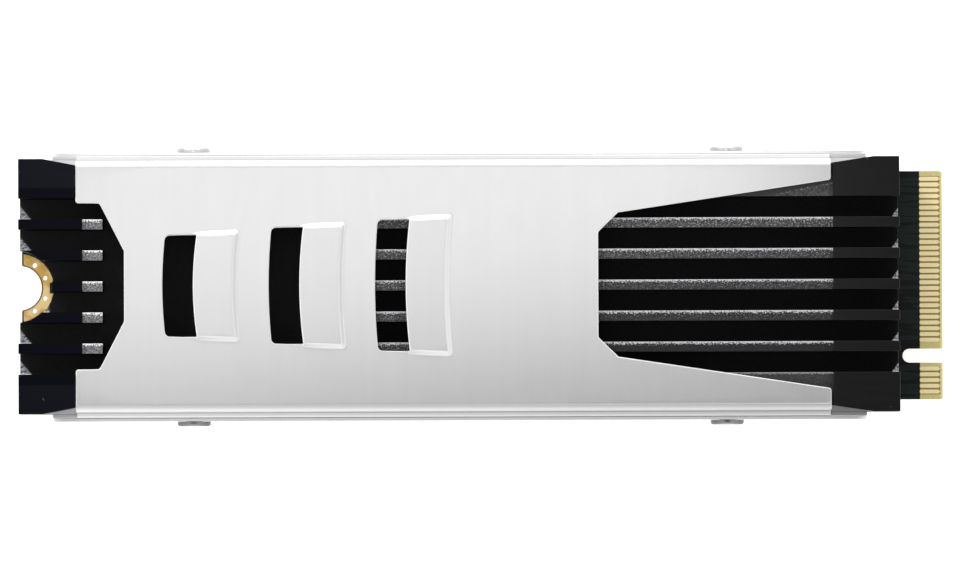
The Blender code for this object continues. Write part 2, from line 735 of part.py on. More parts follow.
def heatsink(parts, cutters):
    sink = extruded("heatsink", [heatsink_section()], "YZ", X_START, X_TAB, parts)
    pocket_start = X_START + POCKET_START_MARGIN
    combine(sink, lowered_field(cutters))
    pocket_low = (pocket_start, -GROOVE_FIELD, Z_GROOVE)
    pocket_high = (pocket_start + POCKET_LENGTH, GROOVE_FIELD, Z_TOP + OVERRUN)
    combine(sink, block("fin_pocket", pocket_low, pocket_high, cutters))
    combine(sink, side_recess("side_recess_back", 1, cutters))
    combine(sink, side_recess("side_recess_front", -1, cutters))
    clearance = SCREW_PAD_RADIUS + SCREW_NOTCH_CLEARANCE
    top = Z_TOP + OVERRUN
    combine(sink, rod("screw_head_room", clearance, (X_NOTCH, 0, 0), (X_NOTCH, 0, top), cutters, 40))
    for x in X_SCREWS:
        for side in (1, -1):
            start = (x, side * (TRAY_OUTER - SCREW_LENGTH - SCREW_TIP_ROOM), Z_SCREW)
            end = (x, side * (HALF_WIDTH + OVERRUN), Z_SCREW)
            radius = SCREW_SHANK_RADIUS + SCREW_CLEARANCE
            combine(sink, rod("tapped_hole", radius, start, end, cutters))
    finish(sink, black_anodised())


def joggle():
    """The straight length between the joggle's two bends, and the height that the whole joggle takes."""
    turn = math.radians(JOGGLE_ANGLE)
    radii = JOGGLE_HOLLOW_RADIUS + JOGGLE_ROUND_RADIUS
    slant = (RECESS_DEPTH - radii * (1 - math.cos(turn))) / math.sin(turn)
    return slant, radii * math.sin(turn) + slant * math.cos(turn)


def shield_half_section():
    """The shield's outer face, from the panel's flat edge at +Y down to the flange's end."""
    slant, drop = joggle()
    upper_wall = Z_TOP - TOP_BEND_RADIUS - Z_JOGGLE
    lower_wall = Z_JOGGLE - drop - Z_FLANGE + OVERRUN
    bends = [
        (0.0, TOP_BEND_RADIUS, -90, 4),
        (upper_wall, JOGGLE_HOLLOW_RADIUS, JOGGLE_ANGLE, 2),
        (slant, JOGGLE_ROUND_RADIUS, -JOGGLE_ANGLE, 3),
        (lower_wall, 0.0, 0, 0),
    ]
    start = (SHIELD_UPPER - TOP_BEND_RADIUS, Z_TOP)
    return bent_path(start, 0, bends)[1:]


def scoop_lip(index):
    """Where a scoop's lip meets the centre line."""
    return X_PANEL_START + FIRST_LIP_MARGIN + SCOOP_PITCH * index


def slot_half_width(index, x):
    """Half the width of a scoop's slot, which widens toward the contacts."""
    at_lip = SLOT_WIDTH + SLOT_WIDTH_STEP * index
    return (at_lip + SLOT_TAPER * (x - scoop_lip(index))) / 2


def bow(index, y):
    """How far a scoop's edges lean toward the contacts, away from the centre line."""
    return SLOT_BOW * (y / slot_half_width(index, scoop_lip(index))) ** 2


def scoop_rows():
    """(x, scoop index, height share) for each row of the blank that a scoop needs."""
    rows = []
    for index in range(SCOOP_COUNT):
        lip = scoop_lip(index)
        end = lip + SCOOP_LENGTH
        rows += [
            (lip - LIP_OVERLAP - LIP_STEP, index, 0.0),
            (lip - LIP_OVERLAP, index, 1.0),
            (end - SCOOP_FALL, index, 0.86),
            (end - SCOOP_FALL * 0.6, index, 0.62),
            (end - SCOOP_FALL * 0.25, index, 0.16),
            (end, index, 0.0),
        ]
    return rows


def scoop_columns():
    """(share of the vane, share of the sloping side, height share) from the centre line to the slope's foot."""
    steps = 4
    vane = [(0.0, 0.0, 1.0), (0.5, 0.0, 1.0), (1.0, 0.0, 1.0)]
    slope = [(1.0, step / steps, (1 + math.cos(math.pi * step / steps)) / 2) for step in range(1, steps + 1)]
    return vane + slope


def scoop_y(index, x, vane_share, slope_share):
    half = slot_half_width(index, x)
    vane = half - SCOOP_SIDE_INWARD
    return vane * vane_share + (SCOOP_SIDE_INWARD + SCOOP_SIDE_OUTWARD) * slope_share


def slot_outline(index):
    """The hole in front of a scoop, with bowed ends and rounded corners."""
    lip = scoop_lip(index)
    start = lip - SLOT_LENGTH
    steps = 6
    corners = []
    for edge, radius, way in ((lip, LIP_CORNER, 1), (start, SLOT_CORNER, -1)):
        half = slot_half_width(index, edge)
        for step in range(steps + 1):
            y = way * half * (2 * step / steps - 1)
            corners.append((edge + bow(index, y), y, radius if step in (0, steps) else 0.0))
    return rounded(corners)


def screw_end_trim(cutters, z_low):
    """All that the blank loses above the flange at the screw end: its overlength and the window."""
    outer = HALF_WIDTH - SCREW_END_WINDOW_STRIP
    inner = SCREW_END_WINDOW_INNER_WIDTH / 2
    past = HALF_WIDTH + OVERRUN
    x_shoulder = X_PANEL_START + SCREW_END_WINDOW_SHOULDER
    x_inner = X_PANEL_START + SCREW_END_WINDOW_LENGTH
    side = [
        (X_START, past, 0.0),
        (X_PANEL_START, past, 0.0),
        (X_PANEL_START, outer, PANEL_CORNER),
        (x_shoulder, outer, WINDOW_CORNER),
        (x_inner, inner, WINDOW_CORNER),
    ]
    mirrored = [(x, -y, radius) for x, y, radius in reversed(side)]
    return extruded("screw_end_trim", [rounded(side + mirrored)], "XY", z_low, Z_TOP + OVERRUN, cutters)


def contact_end_trim(cutters, z_low):
    """All that the blank loses above the flange at the contact end: its overlength and the fin window."""
    outer = HALF_WIDTH - FIN_WINDOW_STRIP
    middle = FIN_WINDOW_CHAMFER_WIDTH / 2
    inner = FIN_WINDOW_INNER_WIDTH / 2
    past = HALF_WIDTH + OVERRUN
    x_inner = scoop_lip(SCOOP_COUNT - 1) + SCOOP_LENGTH + PLAIN_FIELD_LENGTH
    side = [
        (X_TAB, past, 0.0),
        (X_PANEL_END, past, 0.0),
        (X_PANEL_END, outer, PANEL_CORNER),
        (x_inner + FIN_WINDOW_CHAMFER, middle, WINDOW_CORNER),
        (x_inner, inner, WINDOW_CORNER),
    ]
    mirrored = [(x, -y, radius) for x, y, radius in reversed(side)]
    return extruded("contact_end_trim", [rounded(side + mirrored)], "XY", z_low, Z_TOP + OVERRUN, cutters)


def flange_trim(name, low, high, rounded_edge, cutters):
    """A rounded outline seen from the side, to which a folded sheet is trimmed. rounded_edge is low or high."""
    radius_low = FLANGE_CORNER if rounded_edge == "low" else 0.0
    radius_high = TRAY_CORNER if rounded_edge == "high" else 0.0
    corners = [
        (X_FLANGE_START, low, radius_low),
        (X_FLANGE_END, low, radius_low),
        (X_FLANGE_END, high, radius_high),
        (X_FLANGE_START, high, radius_high),
    ]
    past = TRAY_OUTER + OVERRUN
    return extruded(name, [rounded(corners)], "XZ", -past, past, cutters)


def side_screw_holes(name, radius, cutters):
    """A rod at each screw position, through both sides."""
    past = TRAY_OUTER + OVERRUN
    return [rod(name, radius, (x, -past, Z_SCREW), (x, past, Z_SCREW), cutters) for x in X_SCREWS]


def heat_shield(parts, cutters):
    """The folded shield: a blank with scoops pressed up, folded down both sides, then trimmed and pierced."""
    side = shield_half_section()
    half_columns = scoop_columns()
    rows = [(X_FLANGE_START - OVERRUN, None, 0.0), *scoop_rows(), (X_FLANGE_END + OVERRUN, None, 0.0)]
    flat_count = len(half_columns)
    half_count = flat_count + len(side)

    def form(row, column):
        x, index, row_share = rows[row]
        offset = column - (half_count - 1)
        way = -1 if offset < 0 else 1
        step = abs(offset)
        if step >= flat_count:
            y, z = side[step - flat_count]
            return (x, way * y, z)
        vane_share, slope_share, column_share = half_columns[step]
        shape_index = 0 if row == 0 else SCOOP_COUNT - 1 if index is None else index
        y = scoop_y(shape_index, x, vane_share, slope_share)
        lean = 0.0 if index is None else bow(index, y)
        return (x + lean, way * y, Z_TOP + SCOOP_RISE * row_share * column_share)

    shield = formed_sheet("heat_shield", len(rows), 2 * half_count - 1, form, SHIELD_SHEET, -1, parts)
    z_low = Z_JOGGLE - joggle()[1] - SEAT_GAP
    combine(shield, screw_end_trim(cutters, z_low))
    combine(shield, contact_end_trim(cutters, z_low))
    past_scoops = Z_TOP + SCOOP_RISE + OVERRUN
    combine(shield, flange_trim("flange_trim", Z_FLANGE, past_scoops, "low", cutters), "INTERSECT")
    for index in range(SCOOP_COUNT):
        slot = extruded("slot", [slot_outline(index)], "XY", Z_LOWERED, past_scoops, cutters)
        combine(shield, slot)
    for hole in side_screw_holes("shield_screw_hole", SCREW_SHANK_RADIUS + 2 * SCREW_CLEARANCE, cutters):
        combine(shield, hole)
    finish(shield, silver_sheet())
    smooth(shield)


def bottom_tray(parts, cutters):
    """The folded tray: a floor under the lower pad and a wall up each side, outside the shield's flanges."""
    wall_top = Z_JOGGLE - joggle()[1] - TRAY_STEP
    wall = wall_top - TRAY_BEND_RADIUS + OVERRUN
    bends = [(TRAY_OUTER - TRAY_BEND_RADIUS, TRAY_BEND_RADIUS, 90, 4), (wall, 0.0, 0, 0)]
    half = bent_path((0.0, 0.0), 0, bends)
    section = [(-y, z) for y, z in reversed(half[1:])] + half
    ends = (X_FLANGE_START - OVERRUN, X_FLANGE_END + OVERRUN)

    def form(row, column):
        return (ends[row], *section[column])

    tray = formed_sheet("bottom_tray", 2, len(section), form, TRAY_SHEET, 1, parts)
    combine(tray, flange_trim("tray_trim", -OVERRUN, wall_top, "high", cutters), "INTERSECT")
    notch = SCREW_PAD_RADIUS + TRAY_NOTCH_CLEARANCE
    combine(tray, rod("standoff_room", notch, (X_NOTCH, 0, -OVERRUN), (X_NOTCH, 0, Z_BOARD), cutters, 40))
    for hole in side_screw_holes("tray_screw_hole", SCREW_SHANK_RADIUS + 2 * SCREW_CLEARANCE, cutters):
        combine(tray, hole)
    finish(tray, silver_sheet())
    smooth(tray)


def side_screw_mesh(parts, cutters):
    """One pan head screw, its axis on Z and the underside of its head at zero, with a cross recess."""
    flat = SCREW_HEAD_RADIUS - SCREW_HEAD_ROUNDING
    edge_z = SCREW_HEAD_HEIGHT - SCREW_HEAD_ROUNDING
    tip = SCREW_SHANK_RADIUS * 0.7
    profile = [
        (0.0, SCREW_HEAD_HEIGHT),
        *reversed(arc(flat, edge_z, SCREW_HEAD_ROUNDING, 0, 90, 3)),
        (SCREW_HEAD_RADIUS, 0.0),
        (SCREW_SHANK_RADIUS, 0.0),
        (SCREW_SHANK_RADIUS, -SCREW_LENGTH + SCREW_SHANK_RADIUS - tip),
        (tip, -SCREW_LENGTH),
        (0.0, -SCREW_LENGTH),
    ]
    mesh = bpy.data.meshes.new("screw_profile")
    edges = [(index, index + 1) for index in range(len(profile) - 1)]
    mesh.from_pydata([(radius, 0, z) for radius, z in profile], edges, [])
    turned = placed("screw_profile", mesh, parts)
    spin = turned.modifiers.new("turn", "SCREW")
    spin.steps = ROUND_STEPS
    spin.render_steps = ROUND_STEPS
    spin.use_merge_vertices = True
    spin.merge_threshold = 0.00001
    arms = ((DRIVE_LENGTH, DRIVE_WIDTH), (DRIVE_WIDTH, DRIVE_LENGTH))
    tools = []
    for index, (length, width) in enumerate(arms):
        low = (-length / 2, -width / 2, SCREW_HEAD_HEIGHT - DRIVE_DEPTH)
        high = (length / 2, width / 2, SCREW_HEAD_HEIGHT + OVERRUN)
        tools.append(block(f"drive_arm_{index + 1}", low, high, cutters))
        combine(turned, tools[-1])
    bpy.context.view_layer.update()
    graph = bpy.context.evaluated_depsgraph_get()
    made = bpy.data.meshes.new_from_object(turned.evaluated_get(graph))
    made.name = "side_screw"
    for helper in (turned, *tools):
        bpy.data.objects.remove(helper)
    made.materials.clear()
    made.materials.append(screw_steel())
    made.shade_smooth()
    made.set_sharp_from_angle(angle=math.radians(35))
    return made


def side_screws(parts, cutters):
    mesh = side_screw_mesh(parts, cutters)
    places = [(x, side) for side in (1, -1) for x in X_SCREWS]
    for index, (x, side) in enumerate(places):
        screw = placed(f"side_screw_{index + 1}", mesh, parts)
        screw.location = (x, side * (TRAY_OUTER + SEAT_GAP), Z_SCREW)
        screw.rotation_euler = (math.radians(-90 * side), 0, 0)


def main():
    clear_scene()
    parts = new_collection("gumstick_solid_state_drive")
    cutters = new_collection("cutters")
    cutters.hide_render = True
    circuit_board(parts, cutters)
    packages(parts)
    supply_parts(parts)
    thermal_pads(parts)
    heatsink(parts, cutters)
    heat_shield(parts, cutters)
    bottom_tray(parts, cutters)
    side_screws(parts, cutters)


main()
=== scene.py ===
import math

import bmesh
import bpy
import numpy as np
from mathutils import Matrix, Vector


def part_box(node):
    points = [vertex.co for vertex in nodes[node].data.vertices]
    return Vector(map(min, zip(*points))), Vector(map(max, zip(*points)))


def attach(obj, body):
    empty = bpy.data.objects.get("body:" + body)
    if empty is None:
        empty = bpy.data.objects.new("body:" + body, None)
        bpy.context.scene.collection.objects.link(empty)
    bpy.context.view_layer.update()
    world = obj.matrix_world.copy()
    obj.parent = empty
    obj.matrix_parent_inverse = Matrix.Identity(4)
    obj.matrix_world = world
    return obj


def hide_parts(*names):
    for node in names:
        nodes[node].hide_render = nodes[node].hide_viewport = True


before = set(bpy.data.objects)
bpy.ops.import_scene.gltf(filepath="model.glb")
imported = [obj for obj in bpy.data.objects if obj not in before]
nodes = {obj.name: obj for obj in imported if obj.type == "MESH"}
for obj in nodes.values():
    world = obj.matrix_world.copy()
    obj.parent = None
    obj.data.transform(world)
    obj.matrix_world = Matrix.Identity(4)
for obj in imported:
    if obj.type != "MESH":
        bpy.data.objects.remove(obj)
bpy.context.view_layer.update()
mm = 0.001  # sizes and places below are in millimetres, and meshes are scaled by this


def boxOf(node):
    low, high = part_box(node)
    return np.array(low) / mm, np.array(high) / mm


sinkLow, sinkHigh = boxOf("heatsink")
shieldLow, shieldHigh = boxOf("heat_shield")
trayLow, trayHigh = boxOf("bottom_tray")
cardLow, cardHigh = boxOf("circuit_board")


def meshOf(name, points, faces):
    # points in millimetres as rows of x, y, z; faces as rows of point numbers
    mesh = bpy.data.meshes.new(name)
    mesh.from_pydata((np.asarray(points).reshape(-1, 3) * mm).tolist(), [], faces)
    return mesh


def weld(mesh, gap=0.0004):
    # joins points nearer than the gap in millimetres, so that rows that shrink to nothing leave no faces
    shape = bmesh.new()
    shape.from_mesh(mesh)
    bmesh.ops.remove_doubles(shape, verts=shape.verts, dist=gap * mm)
    bmesh.ops.delete(shape, geom=[v for v in shape.verts if not v.link_faces], context="VERTS")
    shape.to_mesh(mesh)
    shape.free()


def gridQuads(rows, columns):
    # one quad for each cell of a grid of points, as an array of rows - 1 by columns - 1 by 4
    i, j = np.meshgrid(np.arange(rows - 1), np.arange(columns - 1), indexing="ij")
    corner = i * columns + j
    return np.stack([corner, corner + columns, corner + columns + 1, corner + 1], -1)


def newPiece(name, mesh, *looks):
    piece = bpy.data.objects.new(name, mesh)
    bpy.context.scene.collection.objects.link(piece)
    for look in looks:
        mesh.materials.append(look)
    return piece


def settle(piece):
    # the piece's modifiers become its mesh
    graph = bpy.context.evaluated_depsgraph_get()
    done = bpy.data.meshes.new_from_object(piece.evaluated_get(graph))
    piece.modifiers.clear()
    done.name = piece.name
    piece.data = done


def unit(rows):
    return rows / np.maximum(np.linalg.norm(rows, axis=-1, keepdims=True), 1e-12)


def sheetMesh(name, points, quads, thickness, edgeBreak):
    # A folded sheet from its outer skin: the inner skin is the outer one moved in by the thickness, and each
    # open edge gets a rim whose two corners are cut off by the edge break, given once or for each point. The
    # outer cut is the mesh's second material and the rim its third.
    points = points.reshape(-1, 3)
    used, quads = np.unique(quads, return_inverse=True)
    edgeBreak = np.broadcast_to(edgeBreak, len(points))[used, None]
    points, quads = points[used], quads.reshape(-1, 4)
    ends = np.stack([quads, np.roll(quads, -1, 1)], -1).reshape(-1, 2)
    cross = np.cross(points[quads[:, 2]] - points[quads[:, 0]], points[quads[:, 3]] - points[quads[:, 1]])
    faceUp = unit(cross)
    up = np.zeros_like(points)
    np.add.at(up, quads.ravel(), np.repeat(faceUp, 4, 0))
    up = unit(up)
    key = ends.min(1) * len(points) + ends.max(1)
    _, where, times = np.unique(key, return_inverse=True, return_counts=True)
    rim = times[where.ravel()] == 1
    first, last = ends[rim].T
    inward = unit(np.cross(np.repeat(faceUp, 4, 0)[rim], points[last] - points[first]))
    aside = np.zeros_like(points)
    np.add.at(aside, first, inward)
    np.add.at(aside, last, inward)
    aside = unit(aside)
    atRim = np.zeros(len(points), bool)
    atRim[ends[rim]] = True
    lean = np.zeros(len(points))
    np.add.at(lean, first, (inward * aside[first]).sum(1) / 2)
    np.add.at(lean, last, (inward * aside[last]).sum(1) / 2)
    aside = aside / np.clip(lean, 0.7, 1)[:, None] * atRim[:, None]
    count = len(points)
    layers = [points + aside * edgeBreak, points - up * thickness + aside * edgeBreak,
              points - up * edgeBreak, points - up * (thickness - edgeBreak)]
    outer, inner = quads, quads[:, ::-1] + count
    low = np.searchsorted(np.flatnonzero(atRim), np.arange(count))
    rimPoints = np.concatenate([layers[2][atRim], layers[3][atRim]])
    upper = 2 * count + low
    lower = upper + atRim.sum()
    strips = [np.stack([a[last], a[first], b[first], b[last]], 1)
              for a, b in ((np.arange(count), upper), (upper, lower), (lower, np.arange(count) + count))]
    faces = np.concatenate([outer, inner, *strips])
    mesh = meshOf(name, np.concatenate([layers[0], layers[1], rimPoints]), faces.tolist())
    kind = np.repeat([0, 1, 2, 0], [2 * len(outer)] + [len(strips[0])] * 3)
    mesh.polygons.foreach_set("material_index", kind.astype(np.int32))
    return mesh


def smoothTo(mesh, angle):
    # smooth shading, with the edges that turn by more than the angle in degrees kept sharp
    mesh.shade_smooth()
    mesh.set_sharp_from_angle(angle=math.radians(angle))


def soften(piece, width):
    # breaks the edges that carry a bevel weight
    edge = piece.modifiers.new("edgeBreak", "BEVEL")
    edge.width = width * mm
    edge.segments = 2
    edge.limit_method = "WEIGHT"
    edge.use_clamp_overlap = False
    edge.harden_normals = True


def standsFor(piece, node):
    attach(piece, "root")
    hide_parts(node)


def roundCorners(corners, steps=6):
    # a polyline whose inner (x, y, radius) corners turn into arcs, as an array of x, y
    line = [np.array(corners[0][:2])[None]]
    for before, here, after in zip(corners, corners[1:], corners[2:]):
        corner = np.array(here[:2])
        back = np.array(before[:2]) - corner
        ahead = np.array(after[:2]) - corner
        back, ahead = back / np.linalg.norm(back), ahead / np.linalg.norm(ahead)
        half = math.acos(back @ ahead) / 2
        middle = corner + (back + ahead) / np.linalg.norm(back + ahead) * here[2] / math.sin(half)
        first = corner + back * here[2] / math.tan(half) - middle
        last = corner + ahead * here[2] / math.tan(half) - middle
        turn = math.atan2(first[0] * last[1] - first[1] * last[0], first @ last)
        angle = math.atan2(first[1], first[0]) + np.linspace(0, turn, steps + 1)
        line.append(middle + here[2] * np.stack([np.cos(angle), np.sin(angle)], 1))
    line.append(np.array(corners[-1][:2])[None])
    return np.concatenate(line)


def shareOut(line, count, turnWeight=6.0):
    # count points along a line, spaced by its length plus its turning, so corners get more of them
    step = np.diff(line, axis=0)
    length = np.linalg.norm(step, axis=1)
    heading = np.unwrap(np.arctan2(step[:, 1], step[:, 0]))
    turning = np.abs(np.diff(heading, prepend=heading[0]))
    travelled = np.concatenate([[0], np.cumsum(length + turnWeight * turning)])
    wanted = np.linspace(0, travelled[-1], count)
    return np.stack([np.interp(wanted, travelled, line[:, k]) for k in (0, 1)], 1)


def arcLine(middle, radius, start, turn, steps):
    # middle plus radius times (cosine, sine) of angles that run on from the start by the turn, in degrees
    angle = np.radians(start + np.linspace(0, turn, steps + 1))
    return np.array(middle) + radius * np.stack([np.cos(angle), np.sin(angle)], 1)


class Look:
    # one Principled material and short names for the nodes that feed it

    def __init__(self, name, colour, roughness, metallic=0.0, specular=0.5):
        self.material = bpy.data.materials.new(name)
        self.material.use_nodes = True
        self.tree = self.material.node_tree
        self.shader = self.tree.nodes["Principled BSDF"]
        self.set("Base Color", (*colour, 1.0))
        self.set("Roughness", roughness)
        self.set("Metallic", metallic)
        self.set("Specular IOR Level", specular)
        self.place = self.add("ShaderNodeTexCoord").outputs["Object"]

    def add(self, kind, **settings):
        node = self.tree.nodes.new(kind)
        for key, value in settings.items():
            setattr(node, key, value)
        return node

    def set(self, socket, value):
        self.shader.inputs[socket].default_value = value

    def plug(self, value, socket):
        if hasattr(value, "is_output"):
            self.tree.links.new(value, socket)
        else:
            socket.default_value = value

    def math(self, operation, a, b=0.0):
        node = self.add("ShaderNodeMath", operation=operation)
        self.plug(a, node.inputs[0])
        self.plug(b, node.inputs[1])
        return node.outputs[0]

    def times(self, a, b):
        return self.math("MULTIPLY", a, b)

    def plus(self, a, b):
        return self.math("ADD", a, b)

    def minus(self, a, b):
        return self.math("SUBTRACT", a, b)

    def over(self, a, b):
        # one where a is over b, else nothing
        return self.math("GREATER_THAN", a, b)

    def under(self, a, b):
        return self.math("LESS_THAN", a, b)

    def axes(self):
        split = self.add("ShaderNodeSeparateXYZ")
        self.plug(self.place, split.inputs[0])
        return split.outputs

    def noise(self, perMillimetre, detail, stretch=(1, 1, 1), roughness=0.5):
        # cloudy noise with so many grains along a millimetre, each drawn out along the axes by the stretch
        place = self.add("ShaderNodeMapping")
        self.plug(self.place, place.inputs["Vector"])
        place.inputs["Scale"].default_value = [1 / (s * mm) for s in stretch]
        node = self.add("ShaderNodeTexNoise")
        self.plug(place.outputs[0], node.inputs["Vector"])
        node.inputs["Scale"].default_value = perMillimetre
        node.inputs["Detail"].default_value = detail
        node.inputs["Roughness"].default_value = roughness
        return node.outputs["Fac"]

    def spread(self, value, low, high, toLow, toHigh):
        # toLow at the low value, toHigh at the high one, and an even run between them
        node = self.add("ShaderNodeMapRange", clamp=True)
        for socket, number in zip(node.inputs, (value, low, high, toLow, toHigh)):
            self.plug(number, socket)
        return node.outputs[0]

    def band(self, value, low, full, falling, gone):
        # rises to one between low and full, and falls back to nothing between falling and gone
        rise, fall = self.spread(value, low, full, 0, 1), self.spread(value, falling, gone, 1, 0)
        return self.times(rise, fall)

    def slant(self, along, reach, aside, width):
        # one on the line from the reach along one way to the width along the other, and less within it
        return self.plus(self.math("DIVIDE", along, reach), self.math("DIVIDE", aside, width))

    def blend(self, share, colourA, colourB):
        node = self.add("ShaderNodeMix", data_type="RGBA")
        self.plug(share, node.inputs[0])
        for socket, colour in ((node.inputs[6], colourA), (node.inputs[7], colourB)):
            self.plug(colour if hasattr(colour, "is_output") else (*colour, 1.0), socket)
        return node.outputs[2]

    def grade(self, value, low, high, colourA, colourB):
        # colourA at the low value, colourB at the high one, and an even run between them
        return self.blend(self.spread(value, low, high, 0, 1), colourA, colourB)

    def colour(self, value):
        self.plug(value, self.shader.inputs["Base Color"])

    def roughness(self, value, low, high, toLow, toHigh):
        self.plug(self.spread(value, low, high, toLow, toHigh), self.shader.inputs["Roughness"])

    def metal(self, value):
        self.plug(value, self.shader.inputs["Metallic"])

    def gloss(self, value):
        self.plug(value, self.shader.inputs["Specular IOR Level"])

    def relief(self, height, millimetres, strength):
        node = self.add("ShaderNodeBump")
        node.inputs["Strength"].default_value = strength
        node.inputs["Distance"].default_value = millimetres * mm
        self.plug(height, node.inputs["Height"])
        self.plug(node.outputs[0], self.shader.inputs["Normal"])


def satinSheet(name, tone, metallic=1.0, foldAt=None):
    # bright aluminium sheet: a fine grain drawn across its width, faint streaks and small bright grains
    look = Look(name, (tone, tone, tone), 0.40, metallic=metallic)
    grain = look.noise(7.0, 3.0, stretch=(1, 16, 16), roughness=0.6)
    streaks = look.noise(1.2, 2.0, stretch=(1, 30, 30))
    grit = look.noise(6.0, 2.0, roughness=0.7)
    shade = look.plus(look.times(grain, 0.5), look.times(streaks, 0.5))
    body = look.grade(shade, 0.35, 0.65, (tone * 0.985,) * 3, (tone * 1.01,) * 3)
    # painted shade in the folds' hollows, on the front bend and on the back step
    if foldAt:
        body = paintedFoldShade(look, body, foldAt)
    look.colour(body)
    look.roughness(grain, 0.3, 0.7, 0.38, 0.43)
    look.relief(look.plus(grain, look.times(grit, 0.6)), 0.003, 0.5)
    return look.material


def paintedFoldShade(look, body, foldAt):
    # painted shade: the hollow of each side's fold is painted darker, and so are the front edge's bend and
    # the back edge's step
    dull = (0.2, 0.2, 0.2)
    x, y, z = look.axes()
    out = look.minus(look.math("ABSOLUTE", y), foldAt * mm)
    inHollow = look.band(out, 0, 0.03 * mm, 0.08 * mm, 0.16 * mm)
    inHollow = look.times(inHollow, look.spread(x, -35 * mm, 30 * mm, 0.48, 0.72))
    body = look.blend(inHollow, body, dull)
    atFront = look.under(y, (0.5 - foldAt) * mm)
    atFront = look.times(atFront, look.spread(x, -30 * mm, 30 * mm, 0.28, 0.54))
    body = look.blend(atFront, body, dull)
    onStep = look.over(y, (foldAt + 0.06) * mm)
    onStep = look.times(onStep, look.under(y, (foldAt + 0.40) * mm))
    return look.blend(look.times(onStep, 0.5), body, dull)


def cutRim():
    # the shield's cut edge, as it shows beside the heatsink: painted shade makes it darker along the front
    # and toward the contacts
    look = Look("cutRim", (0.80, 0.80, 0.80), 0.42, metallic=0.3)
    x, y, z = look.axes()
    grain = look.noise(12.0, 2.0)
    front = look.grade(x, -30 * mm, 30 * mm, (0.70, 0.70, 0.70), (0.46, 0.46, 0.46))
    body = look.blend(look.over(y, 0.0), front, (0.82, 0.82, 0.82))
    look.colour(look.blend(look.spread(grain, 0.3, 0.7, 0, 0.1), body, (0.5, 0.5, 0.5)))
    look.roughness(grain, 0.3, 0.7, 0.38, 0.46)
    look.relief(grain, 0.003, 0.4)
    return look.material


def blackAnodised():
    # black dyed aluminium: smooth, with a few specks of dust; toward the screw end it is less glossy, painted
    # darker as painted shade, and bluer, most of all on the fins
    look = Look("blackAnodised", (0.006, 0.006, 0.007), 0.33, specular=0.20)
    x, y, z = look.axes()
    lines = look.noise(5.0, 3.0, stretch=(30, 1, 1))
    specks = look.spread(look.noise(2.2, 1.0), 0.80, 0.84, 0, 1)
    # painted shade: toward the screw end the black is darker, and bluer, and on the fin tops there it is
    # darker still
    cool = look.spread(x, -20 * mm, 10 * mm, 1, 0)
    body = look.blend(cool, (0.0065, 0.0065, 0.0065), (0.0030, 0.0034, 0.0068))
    amongFins = look.under(look.math("ABSOLUTE", y), 8.5 * mm)
    onFin = look.times(amongFins, look.spread(x, -34 * mm, -30 * mm, 0.6, 0))
    gloss = look.spread(x, -34 * mm, -30 * mm, 0.085, 0.23)
    look.gloss(look.times(gloss, look.minus(1.0, onFin)))
    body = look.blend(look.times(onFin, 0.4), body, (0.0, 0.0, 0.0))
    look.colour(look.blend(specks, body, (0.06, 0.06, 0.07)))
    look.roughness(lines, 0.3, 0.7, 0.30, 0.38)
    look.relief(lines, 0.003, 0.3)
    return look.material


def blastedFins():
    # lowered tops, milled and blasted after blacking: dark grey broken up by bright grains, with painted
    # shade darkening them toward the front and most toward the contacts, patches of bare metal at the screw
    # end, and a ragged pale back edge on each fin that is a painted highlight
    look = Look("blastedFins", (0.10, 0.10, 0.105), 0.5, metallic=0.5)
    x, y, z = look.axes()
    grains = look.noise(5.0, 2.0, roughness=0.7)
    fine = look.noise(7.5, 1.0)
    glints = look.spread(fine, 0.55, 0.68, 0, 1)
    body = look.grade(grains, 0.35, 0.65, (0.018, 0.018, 0.020), (0.100, 0.100, 0.105))
    body = look.blend(glints, body, (0.34, 0.34, 0.35))
    # painted shade: the fins darken toward the front, and most toward the contacts
    front = look.spread(y, -6 * mm, 7 * mm, 0.95, 0.0)
    front = look.times(front, look.spread(x, -8 * mm, 10 * mm, 0.3, 1))
    body = look.blend(front, body, (0.01, 0.01, 0.011))
    atPatch = look.spread(x, -31 * mm, -30 * mm, 1, 0)
    bright = look.grade(fine, 0.35, 0.65, (0.09, 0.09, 0.095), (0.36, 0.36, 0.37))
    body = look.blend(look.times(atPatch, 0.8), body, bright)
    # painted highlight: a ragged band along each fin's back edge, which faces the lights, is painted pale,
    # and whiter at the screw end
    pitch = sink["finPitch"] * mm
    finMiddle = look.times(look.math("ROUND", look.math("DIVIDE", y, pitch)), pitch)
    ragged = look.times(look.minus(fine, 0.5), 0.8 * mm)
    acrossFin = look.plus(look.minus(y, finMiddle), ragged)
    backEdgeHighlight = look.blend(atPatch, (0.60, 0.60, 0.62), (0.97, 0.97, 0.98))
    body = look.grade(acrossFin, 0.22 * mm, 0.36 * mm, body, backEdgeHighlight)
    onFlank = look.over(look.math("ABSOLUTE", y), sink["flankFrom"] * mm)
    look.colour(look.blend(onFlank, body, blastedFlank(look, grains, fine, glints)))
    look.roughness(grains, 0.3, 0.7, 0.45, 0.65)
    look.relief(grains, 0.05, 0.9)
    return look.material


